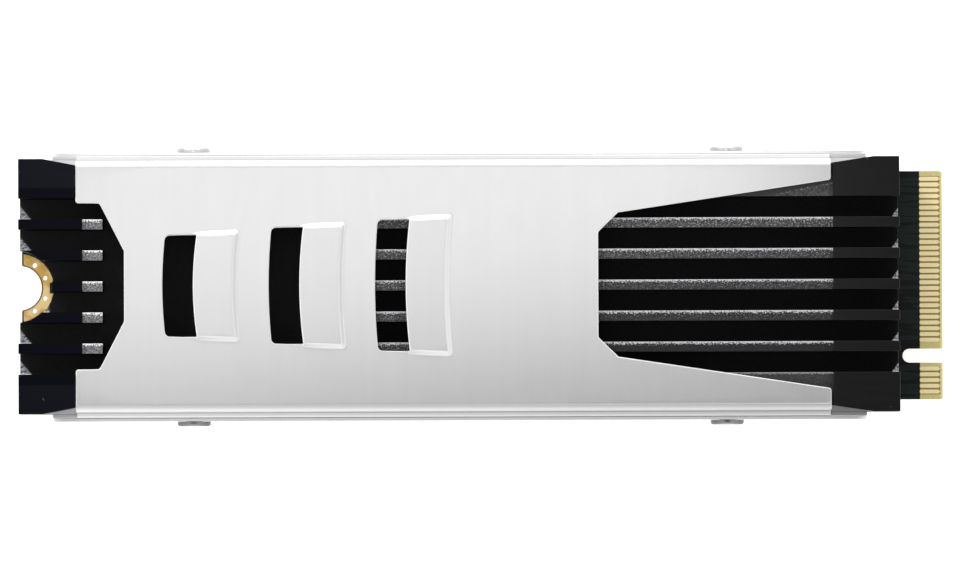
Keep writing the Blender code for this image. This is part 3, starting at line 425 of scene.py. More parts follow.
def blastedFlank(look, grains, fine, glints):
    # the lowered tops of the flanks: darker than the fins, the front one most, with a ragged grey rim along
    # the front, and at the back a painted shadow of the shield's edge, smooth and dark behind a slanting line
    # of painted glints
    x, y, z = look.axes()
    dull = look.grade(grains, 0.35, 0.65, (0.04, 0.04, 0.043), (0.12, 0.12, 0.123))
    dull = look.blend(look.spread(y, -2 * mm, 2 * mm, 0.6, 0), dull, (0.03, 0.03, 0.032))
    # painted shadow of the shield's edge darkens the back flank behind a slanting line, and painted glints
    # run along that line
    above = look.minus(y, look.times(x, 0.2))
    dull = look.blend(look.spread(above, 2.62 * mm, 2.76 * mm, 0, 0.8), dull, (0.038, 0.042, 0.046))
    onShadowEdge = look.band(above, 2.56 * mm, 2.62 * mm, 2.70 * mm, 2.76 * mm)
    onShadowEdge = look.times(onShadowEdge, look.spread(x, 24 * mm, 28 * mm, 0, 0.8))
    dull = look.blend(look.times(onShadowEdge, glints), dull, (0.5, 0.5, 0.5))
    ragged = look.plus(y, look.times(look.minus(fine, 0.5), 0.4 * mm))
    rim = look.spread(ragged, -(sink["flankFrom"] + 0.17) * mm, -(sink["flankFrom"] + 0.08) * mm, 0, 1)
    return look.blend(look.times(rim, look.under(y, 0.0)), dull, (0.30, 0.30, 0.31))


def grooveFloors():
    # black groove floors, with painted light at the grooves' ends: where the key lights fall past the fins'
    # ends, a slanting lit corner of grains lies behind each fin, brightest along its foot with a painted
    # highlight
    look = Look("grooveFloors", (0.10, 0.10, 0.105), 0.5, metallic=0.5)
    x, y, z = look.axes()
    grains = look.noise(5.0, 2.0, roughness=0.7)
    fine = look.noise(7.5, 1.0)
    wholePitches = 20 * sink["finPitch"]  # the remainder is taken of a length that stays above zero
    fromFin = look.plus(y, (wholePitches - sink["finWidth"] / 2) * mm)
    fromFin = look.math("MODULO", fromFin, sink["finPitch"] * mm)
    room = look.minus((sink["headRoomRadius"] * mm) ** 2, look.times(y, y))
    cut = look.math("SQRT", look.math("MAXIMUM", room, 0.0))
    cut = look.math("MAXIMUM", look.minus(cut, 0.68 * mm), 0.0)
    cut = look.times(cut, look.under(y, 0.0))
    fromStart = look.minus(x, look.plus(cut, sinkLow[0] * mm))
    fromEnd = look.minus(sinkHigh[0] * mm, x)
    nearStart = look.slant(fromStart, 1.05 * mm, fromFin, 1.25 * mm)
    nearEnd = look.slant(fromEnd, 0.60 * mm, fromFin, 0.85 * mm)
    # painted light: the lit corner at each groove's end, in place of the key lights' pool of light
    litCorner = look.spread(look.math("MINIMUM", nearStart, nearEnd), 0.9, 1.05, 1, 0)
    # painted soft light makes the floors paler near the screw end, and painted shade makes them darker in the
    # grooves among the fins than in the pocket
    towardContacts = look.spread(x, -14 * mm, -10 * mm, 0, 1)
    black = look.blend(towardContacts, (0.0065, 0.0065, 0.007), (0.0035, 0.0035, 0.004))
    black = look.grade(x, -36 * mm, -30 * mm, (0.015, 0.014, 0.015), black)
    rough = look.grade(grains, 0.38, 0.62, (0.06, 0.06, 0.07), (0.62, 0.62, 0.66))
    ragged = look.plus(fromFin, look.times(fine, 0.2 * mm))
    atFoot = look.spread(ragged, 0.18 * mm, 0.28 * mm, 1, 0)
    look.colour(look.blend(litCorner, black, look.blend(atFoot, rough, (0.95, 0.95, 0.97))))
    look.metal(look.times(litCorner, 0.5))
    look.gloss(look.spread(litCorner, 0, 1, 0.10, 0.5))
    look.roughness(grains, 0.3, 0.7, 0.45, 0.65)
    look.relief(grains, 0.05, 0.9)
    return look.material


def bareMilled():
    # shoulders milled after blacking: plain grey metal with the cutter's fine lines, with painted light
    # making the back one brighter, and painted shade darkening the front one toward the contacts
    look = Look("bareMilled", (0.46, 0.46, 0.47), 0.4, metallic=1.0)
    lines = look.noise(10.0, 2.0, stretch=(12, 1, 1))
    body = look.grade(lines, 0.3, 0.7, (0.38, 0.38, 0.39), (0.46, 0.46, 0.47))
    x, y, z = look.axes()
    # painted shade toward the contacts, and painted light on the back shoulder
    body = look.grade(x, -30 * mm, 30 * mm, body, (0.21, 0.21, 0.21))
    look.colour(look.blend(look.over(y, 0.0), body, (0.56, 0.56, 0.57)))
    look.roughness(lines, 0.3, 0.7, 0.36, 0.46)
    look.relief(lines, 0.003, 0.4)
    return look.material


def contactCard():
    # dark solder mask over the traces, gold where the plating stands proud, and bare laminate past the mask,
    # darker between the contacts
    look = Look("contactCard", (0.01, 0.02, 0.02), 0.4, specular=0.3)
    top, bottom = cardHigh[2] - card["plating"], cardLow[2] + card["plating"]
    x, y, z = look.axes()
    above = look.over(z, (top + 0.012) * mm)
    below = look.under(z, (bottom - 0.012) * mm)
    gold = look.math("MAXIMUM", above, below)
    underMask = look.under(z, (top - 0.03) * mm)
    overMask = look.over(z, (bottom + 0.03) * mm)
    bare = look.over(x, card["maskEnd"] * mm)
    bare = look.math("MAXIMUM", bare, look.times(underMask, overMask))
    traces = look.noise(2.6, 1.0, stretch=(9, 1, 1))
    weave = look.noise(6.0, 2.0)
    ridge = look.spread(traces, 0.47, 0.53, 0, 1)
    mask = look.blend(ridge, (0.0018, 0.0040, 0.0038), (0.0068, 0.0130, 0.0120))
    laminate = look.grade(weave, 0.35, 0.65, (0.58, 0.50, 0.20), (0.68, 0.60, 0.27))
    between = look.times(look.under(x, (cardHigh[0] - card["contactSetback"]) * mm),
                         look.under(look.math("ABSOLUTE", y), card["contactReach"] * mm))
    fromKey = look.math("ABSOLUTE", look.minus(y, card["keyAt"] * mm))
    between = look.times(between, look.over(fromKey, card["keyHalf"] * mm))
    laminate = look.blend(between, laminate, (0.33, 0.23, 0.07))
    fromNotch = look.minus(x, (cardLow[0] - card["notchSetback"]) * mm)
    fromNotch = look.plus(look.times(fromNotch, fromNotch), look.times(y, y))
    inRing = look.under(fromNotch, (card["notchReach"] * mm) ** 2)
    mask = look.blend(inRing, mask, (0.24, 0.20, 0.12))
    atContacts = look.over(x, 0.0)
    contact = look.grade(weave, 0.35, 0.65, (1.0, 0.83, 0.42), (1.0, 0.90, 0.54))
    clouds = look.spread(look.noise(0.9, 2.0), 0.4, 0.6, 0, 1)
    ring = look.blend(clouds, (0.60, 0.37, 0.10), (0.84, 0.62, 0.28))
    look.colour(look.blend(gold, look.blend(bare, mask, laminate), look.blend(atContacts, ring, contact)))
    look.metal(look.times(gold, look.spread(atContacts, 0, 1, 0.9, 0.1)))
    look.roughness(gold, 0, 1, 0.38, 0.32)
    masked = look.times(look.minus(1.0, bare), look.minus(1.0, gold))
    look.relief(look.times(ridge, masked), 0.02, 0.5)
    return look.material


def turnedSteel():
    # plain machined steel with faint turning marks; painted shade darkens each head toward its ends and the
    # front screws all over, and the back heads' middles carry a painted highlight
    look = Look("turnedSteel", (0.36, 0.36, 0.37), 0.35, metallic=1.0)
    marks = look.noise(12.0, 3.0)
    x, y, z = look.axes()
    places = [boxOf(f"side_screw_{number}") for number in (1, 2)]
    away = [look.math("ABSOLUTE", look.minus(x, (low[0] + high[0]) / 2 * mm)) for low, high in places]
    # painted highlight in the middle of each back head, and painted shade toward the heads' ends and on the
    # front screws
    atEnd = look.spread(look.math("MINIMUM", *away), 0.3 * mm, 1.1 * mm, 0, 1)
    back = look.blend(atEnd, (0.95, 0.95, 0.96), (0.42, 0.42, 0.43))
    front = look.blend(atEnd, (0.34, 0.34, 0.35), (0.13, 0.13, 0.135))
    body = look.blend(look.over(y, 0.0), front, back)
    look.colour(look.blend(look.spread(marks, 0.3, 0.7, 0, 0.3), body, (0.30, 0.30, 0.31)))
    look.roughness(marks, 0.3, 0.7, 0.26, 0.40)
    look.relief(marks, 0.003, 0.4)
    return look.material


def plainSkin(name, colour, roughness, grains, detail, colours, roughBetween, relief, **settings):
    # one noise runs a plain skin's colour and roughness between two values each, and gives its relief
    look = Look(name, colour, roughness, **settings)
    noise = look.noise(grains, detail)
    look.colour(look.grade(noise, 0.3, 0.7, *colours))
    look.roughness(noise, 0.3, 0.7, *roughBetween)
    look.relief(noise, *relief)
    return look.material


# The heatsink is a block of cells with some left out, and its screw end and side recesses warped to shape.
sink = {
    "finCount": 5,
    "finWidth": 0.9,
    "finPitch": 2.68,
    "base": 1.2,            # plate under the fins
    "finHeight": 2.86,
    "railInner": 9.4,       # half the channel between the rails
    "loweredDepth": 0.70,   # milled off the fins under the shield
    "finsLoweredFrom": 5.5,  # from the screw end
    "flanksLoweredFrom": 4.9,
    "loweredTo": 70.27,
    "pocketFrom": 7.26,
    "pocketLength": 20.24,
    "recessDepth": 0.55,    # milled off each flank for the shield's side
    "recessDrop": 2.64,     # from the top to the recess's inner edge
    "recessSlope": 0.31,
    "recessFrom": 4.91,
    "recessTo": 70.11,
    "runOutBefore": 2.81,
    "runOutAfter": 3.66,
    "headRoomRadius": 3.12,  # cut round the mounting screw
    "headRoomSetback": 0.2,
    "edgeBreak": 0.06,
    "flankFrom": 7.6,       # the flanks' look starts this far from the middle
    "flankSkin": 0.008,     # how far the flanks stand out past the frame's own
    "recessFoot": 0.2,      # how far the line below the recess's floor is lowered on the flanks
}
recessWall = sinkHigh[1] - sink["recessDepth"]
blackLook, blastLook, milledLook, grooveLook = blackAnodised(), blastedFins(), bareMilled(), grooveFloors()


def sinkLines():
    # the planes between the cells, along x, y and z
    start, top = sinkLow[0], sinkHigh[2]
    fins = (np.arange(sink["finCount"]) - (sink["finCount"] - 1) / 2) * sink["finPitch"]
    field = (sink["finCount"] + 1) * sink["finPitch"] / 2 - sink["finWidth"] / 2
    xLines = start + np.array([
        0, sink["recessFrom"] - sink["runOutBefore"], sink["flanksLoweredFrom"], sink["recessFrom"],
        sink["finsLoweredFrom"], sink["pocketFrom"], sink["pocketFrom"] + sink["pocketLength"],
        sink["recessTo"], sink["loweredTo"], sink["recessTo"] + sink["runOutAfter"], sinkHigh[0] - start,
    ])
    roundCut = sink["headRoomRadius"] * np.sin(np.radians(np.linspace(-90, 90, 31)))
    walls = np.concatenate([fins - sink["finWidth"] / 2, fins + sink["finWidth"] / 2])
    apart = np.abs(roundCut[:, None] - walls[None]).min(1) > 0.04
    sides = np.array([field, sink["railInner"], recessWall, sinkHigh[1]])
    yLines = np.sort(np.concatenate([-sides, sides, walls, roundCut[apart]]))
    zGroove = top - sink["finHeight"]
    zLines = np.array([sinkLow[2], zGroove - sink["base"], zGroove, top - sink["recessDrop"],
                       top - sink["loweredDepth"], top])
    return xLines, yLines, zLines, fins, field


def sinkCells(xLines, yLines, zLines, fins, field):
    # true where the block is solid: a cell goes if its middle lies in a channel, groove, pocket or recess
    x, y, z = [(line[:-1] + line[1:]) / 2 for line in (xLines, yLines, zLines)]
    x, y, z = x[:, None, None] - sinkLow[0], y[None, :, None], z[None, None, :]
    onFin = (np.abs(y[..., None] - fins) < sink["finWidth"] / 2).any(-1)
    inField = np.abs(y) < field
    pocket = (x > sink["pocketFrom"]) & (x < sink["pocketFrom"] + sink["pocketLength"])
    groove = inField & (z > zLines[2]) & (~onFin | pocket)
    channel = (np.abs(y) < sink["railInner"]) & (z < zLines[1])
    loweredFrom = np.where(inField, sink["finsLoweredFrom"], sink["flanksLoweredFrom"])
    lowered = (z > zLines[4]) & (x > loweredFrom) & (x < sink["loweredTo"])
    recess = (x > sink["recessFrom"] - sink["runOutBefore"]) & (x < sink["recessTo"] + sink["runOutAfter"])
    recess = recess & (np.abs(y) > recessWall) & (z > zLines[3])
    return ~(groove | channel | lowered | recess)


def warpSink(points, zLines):
    # the screw end follows a circle, x = centre + root of (radius squared - y squared), the recess's wall
    # swings out at its ends in step with x, and its floor falls outward by the slope
    x, y, z = points.T
    across = np.clip(sink["headRoomRadius"] ** 2 - y ** 2, 0, None)
    cut = sinkLow[0] - sink["headRoomSetback"] + np.sqrt(across)
    x = np.maximum(x, np.where(across > 0, cut, sinkLow[0]))
    along = x - sinkLow[0]
    runOut = np.clip((sink["recessFrom"] - along) / sink["runOutBefore"], 0, 1)
    runOut += np.clip((along - sink["recessTo"]) / sink["runOutAfter"], 0, 1)
    onWall = np.isclose(np.abs(y), recessWall)
    y = np.where(onWall, np.sign(y) * (recessWall + sink["recessDepth"] * runOut), y)
    y = np.where(np.abs(y) > sinkHigh[1] - 0.001, y + np.sign(y) * sink["flankSkin"], y)
    outward = np.clip(np.abs(y) - recessWall, 0, None)
    z = np.where(np.isclose(z, zLines[3]), z - sink["recessSlope"] * outward, z)
    z = np.where(np.isclose(z, zLines[2]) & (outward > 0), z - sink["recessFoot"], z)
    return np.stack([x, y, z], 1)


def cellSkin(solid, lines):
    # a quad wherever a solid cell meets an empty one, turned to face the empty side
    counts = [len(line) for line in lines]
    numbers = np.arange(np.prod(counts)).reshape(counts)
    padded = np.pad(solid, 1)
    quads = []
    for axis in range(3):
        rolled = np.moveaxis(padded, axis, 0)
        grid = np.moveaxis(numbers, axis, 0)
        change = rolled[1:, 1:-1, 1:-1].astype(int) - rolled[:-1, 1:-1, 1:-1].astype(int)
        corners = np.stack([grid[:, :-1, :-1], grid[:, 1:, :-1], grid[:, 1:, 1:], grid[:, :-1, 1:]], -1)
        flip = -1 if axis == 1 else 1
        for sign in (1, -1):
            found = corners[change == sign]
            quads.append(found[:, ::-1] if sign * flip > 0 else found)
    return np.concatenate(quads)


def buildSink():
    xLines, yLines, zLines, fins, field = sinkLines()
    solid = sinkCells(xLines, yLines, zLines, fins, field)
    quads = cellSkin(solid, (xLines, yLines, zLines))
    grid = np.stack(np.meshgrid(xLines, yLines, zLines, indexing="ij"), -1).reshape(-1, 3)
    points = warpSink(grid, zLines)
    mesh = meshOf("finnedHeatsink", points, quads.tolist())
    weld(mesh)
    piece = newPiece("finnedHeatsink", mesh, blackLook, blastLook, milledLook, grooveLook)
    finishSinkFaces(mesh, zLines)
    soften(piece, sink["edgeBreak"])
    settle(piece)
    standsFor(piece, "heatsink")


def finishSinkFaces(mesh, zLines):
    # lowered tops are blasted and recess floors are left as milled; only edges inside the recess's wall are
    # broken, so that the recess's thin tips stay whole
    centre, normal = np.zeros((2, len(mesh.polygons) * 3))
    mesh.polygons.foreach_get("center", centre)
    mesh.polygons.foreach_get("normal", normal)
    centre, normal = centre.reshape(-1, 3) / mm, normal.reshape(-1, 3)
    up = normal[:, 2] > 0.7
    blasted = up & np.isclose(centre[:, 2], zLines[4], atol=0.01)
    groove = up & np.isclose(centre[:, 2], zLines[2], atol=0.01) & (np.abs(centre[:, 1]) < sink["railInner"])
    milled = up & (np.abs(centre[:, 1]) > recessWall) & (centre[:, 2] < zLines[4])
    kind = np.select([blasted, milled, groove], [1, 2, 3], 0)
    mesh.polygons.foreach_set("material_index", kind.astype(np.int32))
    shape = bmesh.new()
    shape.from_mesh(mesh)
    weight = shape.edges.layers.float.new("bevel_weight_edge")
    justInside = recessWall - 0.02
    for edge in shape.edges:
        middle = (edge.verts[0].co + edge.verts[1].co) / 2 / mm
        sharp = len(edge.link_faces) == 2 and edge.calc_face_angle(0) > math.radians(40)
        edge[weight] = 1.0 if sharp and abs(middle.y) < justInside else 0.0
        edge.smooth = not sharp
    shape.to_mesh(mesh)
    shape.free()


buildSink()
print("heatsink ready")


# The shield is one grid of points. Its rows run across the drive and its columns follow the folded section,
# from the middle of the panel out over the bend, the wall and the step to the flange's edge.
shield = {
    "sheet": 0.33,
    "panelFrom": 4.95,      # from the card's screw end
    "panelTo": 70.07,
    "bendRadius": 0.68,
    "sideDrop": 2.25,       # from the top to the step
    "stepDepth": 0.5,
    "stepAngle": 65.0,
    "hollowRadius": 0.12,
    "roundRadius": 0.4,
    "flangeCorner": 0.8,
    "panelCorner": 0.25,
    "windowCorner": 0.3,
    "screwWindow": {"shoulderAt": 7.0, "innerAt": 9.12, "outerHalf": 7.16, "innerHalf": 3.04},
    "finWindow": {"innerAt": 50.0, "chamferAt": 51.72, "outerHalf": 8.99, "chamferHalf": 6.22,
                  "innerHalf": 4.54},
    "screwField": 10.7,     # between these the rows run straight across
    "finField": 48.6,
    "edgeBreak": 0.025,
    "panelBreak": 0.075,    # the same along the windows and slots
    "foldShadeFrom": 0.49,       # the fold's painted shade starts this far inside the flange's face
}
scoop = {
    "count": 3,
    "pitch": 9.17,
    "firstLip": 15.075,     # from the card's screw end
    "slotLength": 2.66,
    "slotWidth": 8.92,
    "widerEach": 1.28,
    "widerAlong": 0.088,
    "slotBow": 0.25,        # how far the ends of the slot's far edge trail behind its middle
    "lipBow": 0.345,
    "footBow": 0.26,
    "slotCorner": 0.35,
    "length": 3.80,
    "rise": 0.549,
    "sag": 0.28,            # share of the rise lost along the vane
    "fall": 0.50,
    "lipInward": 0.15,      # the sloping side, inside and outside the slot's line, at the lip
    "lipOutward": 0.17,
    "sideInward": 0.26,     # the same where it's full
    "sideOutward": 0.29,
    "sideGrowth": 1.3,      # how far from the lip the side gets its full width
}
cardStart = cardLow[0]
panelTop = sinkHigh[2]
sheetLook = satinSheet("satinShield", 0.80, foldAt=shieldHigh[1] - shield["foldShadeFrom"])
# the outer cut along every open edge is painted near white: a painted highlight
edgeHighlightLook, rimLook = satinSheet("paintedEdgeHighlight", 0.97, 0.3), cutRim()


def foldedPath(start, heading, bends):
    # points of a section: each (straight, radius, turn, steps) runs on at the heading, then bends by the turn
    here = np.array(start, float)
    path = [here[None]]
    for straight, radius, turn, steps in bends:
        here = here + straight * np.array([math.cos(math.radians(heading)), math.sin(math.radians(heading))])
        path.append(here[None])
        if turn:
            side = math.copysign(90, turn)
            lean = math.radians(heading + side)
            middle = here + radius * np.array([math.cos(lean), math.sin(lean)])
            arc = arcLine(middle, radius, heading - side, turn, steps)
            path.append(arc[1:])
            here, heading = arc[-1], heading + turn
    return np.concatenate(path)


def cornerFall(radius, steps):
    # how far a rounded corner stands back along each edge, from where its arc leaves the one to where it
    # meets the other: radius times (1 - cosine) and radius times (1 - sine)
    angle = np.linspace(90, 0, steps + 1)
    return radius * (1 - np.cos(np.radians(angle))), radius * (1 - np.sin(np.radians(angle)))


def lipOf(index):
    # how far a scoop's lip lies from the card's screw end
    return scoop["firstLip"] + scoop["pitch"] * index


def slotHalf(index, along):
    # half a slot's width: each slot is wider than the one before it, and widens evenly along the drive
    beyond = along - lipOf(index)
    return (scoop["slotWidth"] + scoop["widerEach"] * index + scoop["widerAlong"] * beyond) / 2


def scoopRows():
    # row by row: distance from the card's screw end, scoop number, share of the rise, the slot corner's
    # inset, in the slot or not, and the bow. The rise climbs as a sine squared before the lip, falls evenly
    # along the vane and ends in half a cosine wave. Rows close beside each crease keep the shading true.
    rows = []
    back, inset = cornerFall(scoop["slotCorner"], 4)
    vane = scoop["length"] - scoop["fall"]
    fallen = (1 + np.cos(np.pi * np.linspace(0, 1, 9)[1:])) / 2
    for index in range(scoop["count"]):
        lip = lipOf(index)
        start, end = lip - scoop["slotLength"], lip + scoop["length"]
        rows.append((start - 0.9, index, 0.0, 0.0, False, scoop["slotBow"]))
        rows += [(start + b, index, 0.0, i, True, scoop["slotBow"]) for b, i in zip(inset, back)]
        for step in range(6):
            share = math.sin(math.pi / 10 * step) ** 2
            place = lip - (1.2 if step == 0 else 0.30 - 0.06 * step)
            bow = scoop["slotBow"] + (scoop["lipBow"] - scoop["slotBow"]) * min(1, 1.2 - lip + place)
            rows.append((place, index, share, 0.0, step < 5, scoop["lipBow"] if step else bow))
        for along in (0.12, 0.3, 0.6, 1.0, 1.5, 2.3, vane - 0.04, vane):
            bow = scoop["lipBow"] + (scoop["footBow"] - scoop["lipBow"]) * along / vane
            rows.append((lip + along, index, 1 - scoop["sag"] * along / vane, 0.0, False, bow))
        rows += [(end - scoop["fall"] * (1 - s), index, (1 - scoop["sag"]) * f, 0.0, False, scoop["footBow"])
                 for s, f in zip(np.linspace(0, 1, 9)[1:], fallen)]
        rows += [(end + beyond, index, 0.0, 0.0, False, scoop["footBow"]) for beyond in (0.03, 0.15)]
    return rows


def windowEdge(inner, outer, y, split):
    # one point of the window's edge for each column: those inside the split follow the inner corners
    count = int((y < split).sum())
    start = shareOut(roundCorners(inner), count + 1)
    end = shareOut(roundCorners(outer), len(y) - count)
    return np.column_stack([np.concatenate([start[:-1], end]), np.full(len(y), panelTop)])


def shieldSide(bendStart):
    # the folded section below the panel: over the bend, down the wall, out over the step and down the flange
    turn = math.radians(shield["stepAngle"])
    radii = shield["hollowRadius"] + shield["roundRadius"]
    slant = (shield["stepDepth"] - radii * (1 - math.cos(turn))) / math.sin(turn)
    side = foldedPath((bendStart, panelTop), 0, [
        (0.0, shield["bendRadius"], -90, 8),
        (shield["sideDrop"] - shield["bendRadius"], shield["hollowRadius"], shield["stepAngle"], 4),
        (slant, shield["roundRadius"], -shield["stepAngle"], 5),
    ])[2:]
    back, inset = cornerFall(shield["flangeCorner"], 4)
    flange = np.stack([np.full(len(back), side[-1][0]), shieldLow[2] + back], 1)
    return side, flange, inset


def shieldField(bendStart):
    # The panel between its windows, as rows across the drive. From the middle out, the columns run over the
    # vane, down the scoop's sloping side and across to the bend. The height is the row's share of the rise
    # times half a cosine wave down the slope. Each row bows by the square of its distance from the middle.
    along, index, share, cut, inSlot, bow = [np.array(column) for column in zip(*scoopRows())]
    along = np.concatenate([[shield["screwField"]], along, [shield["finField"]]])
    index = np.concatenate([[0], index, [scoop["count"] - 1]])
    share, cut, inSlot, bow = [np.pad(column, 1) for column in (share, cut, inSlot, bow)]
    half = slotHalf(index, along)[:, None]
    lip = lipOf(index[:, None])
    grown = np.sin(np.clip((along[:, None] - lip) / scoop["sideGrowth"], 0, 1) * np.pi / 2)
    inward = scoop["lipInward"] + (scoop["sideInward"] - scoop["lipInward"]) * grown
    outward = scoop["lipOutward"] + (scoop["sideOutward"] - scoop["lipOutward"]) * grown
    vane = half - inward
    foot = vane + inward + outward
    vaneShares = np.append(np.linspace(0, 0.99, 9), 1)
    sideShares = np.array([0.25, 0.5, 0.75, 1.0])
    flatShares = np.concatenate([[0.008, 0.03], np.linspace(0, 1, 14)[1:-1], [0.985, 0.997, 1]])
    y = np.concatenate([vane * vaneShares, vane + inward * sideShares, half + outward * sideShares,
                        foot + (bendStart - foot) * flatShares], 1)
    slotColumn = len(vaneShares) + len(sideShares) - 1
    y[:, :slotColumn + 1] *= (y[:, [slotColumn]] - cut[:, None]) / y[:, [slotColumn]]
    lean = np.minimum((y / half) ** 2, (foot / half) ** 2)
    fade = np.clip((bendStart - y) / (bendStart - foot), 0, 1)
    x = along[:, None] + bow[:, None] * lean * fade
    hump = (1 + np.cos(np.pi * np.clip((y - vane) / (inward + outward), 0, 1))) / 2
    z = panelTop + scoop["rise"] * share[:, None] * hump
    return np.stack([x, y, z], -1), inSlot, slotColumn


def windowEdges(bendStart, field):
    # the edges of both windows, with one point for each column of the field
    screw, fin = shield["screwWindow"], shield["finWindow"]
    roundBy, panelCorner = shield["windowCorner"], shield["panelCorner"]
    innerCorner = np.array([screw["innerAt"], screw["innerHalf"]])
    shoulder = np.array([screw["shoulderAt"], screw["outerHalf"]])
    beside = shoulder + roundBy * unit(innerCorner - shoulder)
    screwEdge = windowEdge(
        [(screw["innerAt"], 0, 0), (*innerCorner, roundBy), (*beside, 0)],
        [(*beside, 0), (*shoulder, roundBy), (shield["panelFrom"], screw["outerHalf"], panelCorner),
         (shield["panelFrom"], bendStart, 0)], field[0, :, 1], beside[1])
    chamfer = (fin["chamferAt"], fin["chamferHalf"])
    finEdge = windowEdge(
        [(fin["innerAt"], 0, 0), (fin["innerAt"], fin["innerHalf"], roundBy), (*chamfer, 0)],
        [(*chamfer, 0), (shield["panelTo"], fin["outerHalf"], panelCorner),
         (shield["panelTo"], bendStart, 0)], field[-1, :, 1], fin["chamferHalf"])
    return screwEdge, finEdge


def buildShield():
    bendStart = shieldHigh[1] - shield["stepDepth"] - shield["bendRadius"]
    side, flange, inset = shieldSide(bendStart)
    field, inSlot, slotColumn = shieldField(bendStart)
    flangeColumn = field.shape[1] + len(side) - 1

    # at both ends the rows fan out evenly from the straight field to the window's edge
    screwEdge, finEdge = windowEdges(bendStart, field)
    near = np.array([0, 0.15, 0.4, 0.7])[:, None, None]
    far = np.array([0.25, 0.5, 0.75, 1.0])[:, None, None]
    panel = np.concatenate([screwEdge + near * (field[0] - screwEdge), field,
                            field[-1] + far * (finEdge - field[-1])])

    # the folded side under each row's outer end, with the flange running on past the panel at both ends
    side = np.concatenate([side, flange])
    folded = np.empty((len(panel), len(side), 3))
    folded[..., 0] = panel[:, -1, :1]
    folded[..., 1:] = side
    grid = np.concatenate([panel, folded], 1)
    first, last = grid[:1].copy(), grid[-1:].copy()
    flangeCut = np.concatenate([[0], inset])
    first[0, flangeColumn:, 0] = shieldLow[0] - cardStart + flangeCut
    last[0, flangeColumn:, 0] = shieldHigh[0] - cardStart - flangeCut
    grid = np.concatenate([first, grid, last])
    grid[..., 0] += cardStart

    # no sheet past the panel's ends above the flange, nor in the slots
    kept = np.ones((len(grid) - 1, grid.shape[1] - 1), bool)
    kept[[0, -1], :flangeColumn] = False
    slotRows = np.concatenate([np.zeros(len(near) + 1, bool), inSlot, np.zeros(len(far), bool)])
    kept[slotRows, :slotColumn] = False

    full = np.concatenate([grid[:, :0:-1] * [1, -1, 1], grid], 1)
    kept = np.concatenate([kept[:, ::-1], kept], 1)
    edgeBreak = np.where(full[..., 2].ravel() > panelTop - 0.01, shield["panelBreak"], shield["edgeBreak"])
    mesh = sheetMesh("louvredShield", full, gridQuads(*full.shape[:2])[kept], shield["sheet"], edgeBreak)
    smoothTo(mesh, 30)
    standsFor(newPiece("louvredShield", mesh, sheetLook, edgeHighlightLook, rimLook), "heat_shield")


buildShield()
print("shield ready")


# The tray is a channel. Its section runs from the middle of the floor round the bend and up the wall, and
# each line of it has its own start and end, so that the wall's corners and the floor's notch are rounded.
tray = {
    "sheet": 0.265,
    "bendRadius": 0.6,
    "corner": 0.8,
    "notchRadius": 3.28,   # round the mounting screw's standoff
    "notchSetback": 0.2,
    "edgeBreak": 0.015,
}
# the tray's cut edges are painted paler than its faces: a painted highlight
trayLook, trayEdgeLook = satinSheet("satinTray", 0.56), satinSheet("trayEdgeHighlight", 0.86, 0.3)


def buildTray():
    outer, top = trayHigh[1], trayHigh[2]
    back, inset = cornerFall(tray["corner"], 4)
    flat = outer - tray["bendRadius"]
    notch = tray["notchRadius"] * np.sin(np.radians(np.linspace(0, 24, 9)))
    floorY = np.concatenate([notch, np.linspace(3, flat, 5)[:-1]])
    bend = arcLine((flat, tray["bendRadius"]), tray["bendRadius"], -90, 90, 8)
    y = np.concatenate([floorY, bend[:, 0], np.full(len(back), outer)])
    z = np.concatenate([np.zeros(len(floorY)), bend[:, 1], top - back])
    back = np.concatenate([np.zeros(len(y) - len(inset)), inset])
    notchCut = np.sqrt(np.clip(tray["notchRadius"] ** 2 - y ** 2, 0, None)) + cardStart - tray["notchSetback"]
    start = np.where(z < tray["sheet"], np.maximum(trayLow[0], notchCut), trayLow[0]) + back
    end = trayHigh[0] - back
    share = np.array([0, 0.02, 0.5, 0.98, 1])[:, None]
    x = start + share * (end - start)
    half = np.stack([x, np.broadcast_to(y, x.shape), np.broadcast_to(z, x.shape)], -1)
    full = np.concatenate([half[:, :0:-1] * [1, -1, 1], half], 1)
    quads = gridQuads(*full.shape[:2]).reshape(-1, 4)[:, ::-1]
    mesh = sheetMesh("foldedTray", full, quads, tray["sheet"], tray["edgeBreak"])
    smoothTo(mesh, 30)
    standsFor(newPiece("foldedTray", mesh, trayLook, trayEdgeLook, trayEdgeLook), "bottom_tray")


buildTray()
print("tray ready")


# A side screw is a profile turned about its axis, with the cross pressed into the head's face.
screw = {
    "headRadius": 1.45,
    "headHeight": 0.4,
    "rim": 0.22,         # rounding of the head
    "shank": 0.7,        # radius
    "length": 1.8,
    "tip": 0.21,         # cut off the shank's end
    "armLength": 0.70,   # of the cross, from the middle
    "armHalf": 0.17,
    "crossDepth": 0.28,
    "crossEdge": 0.05,   # width of the slope at the cross's edge
}
steelLook = turnedSteel()


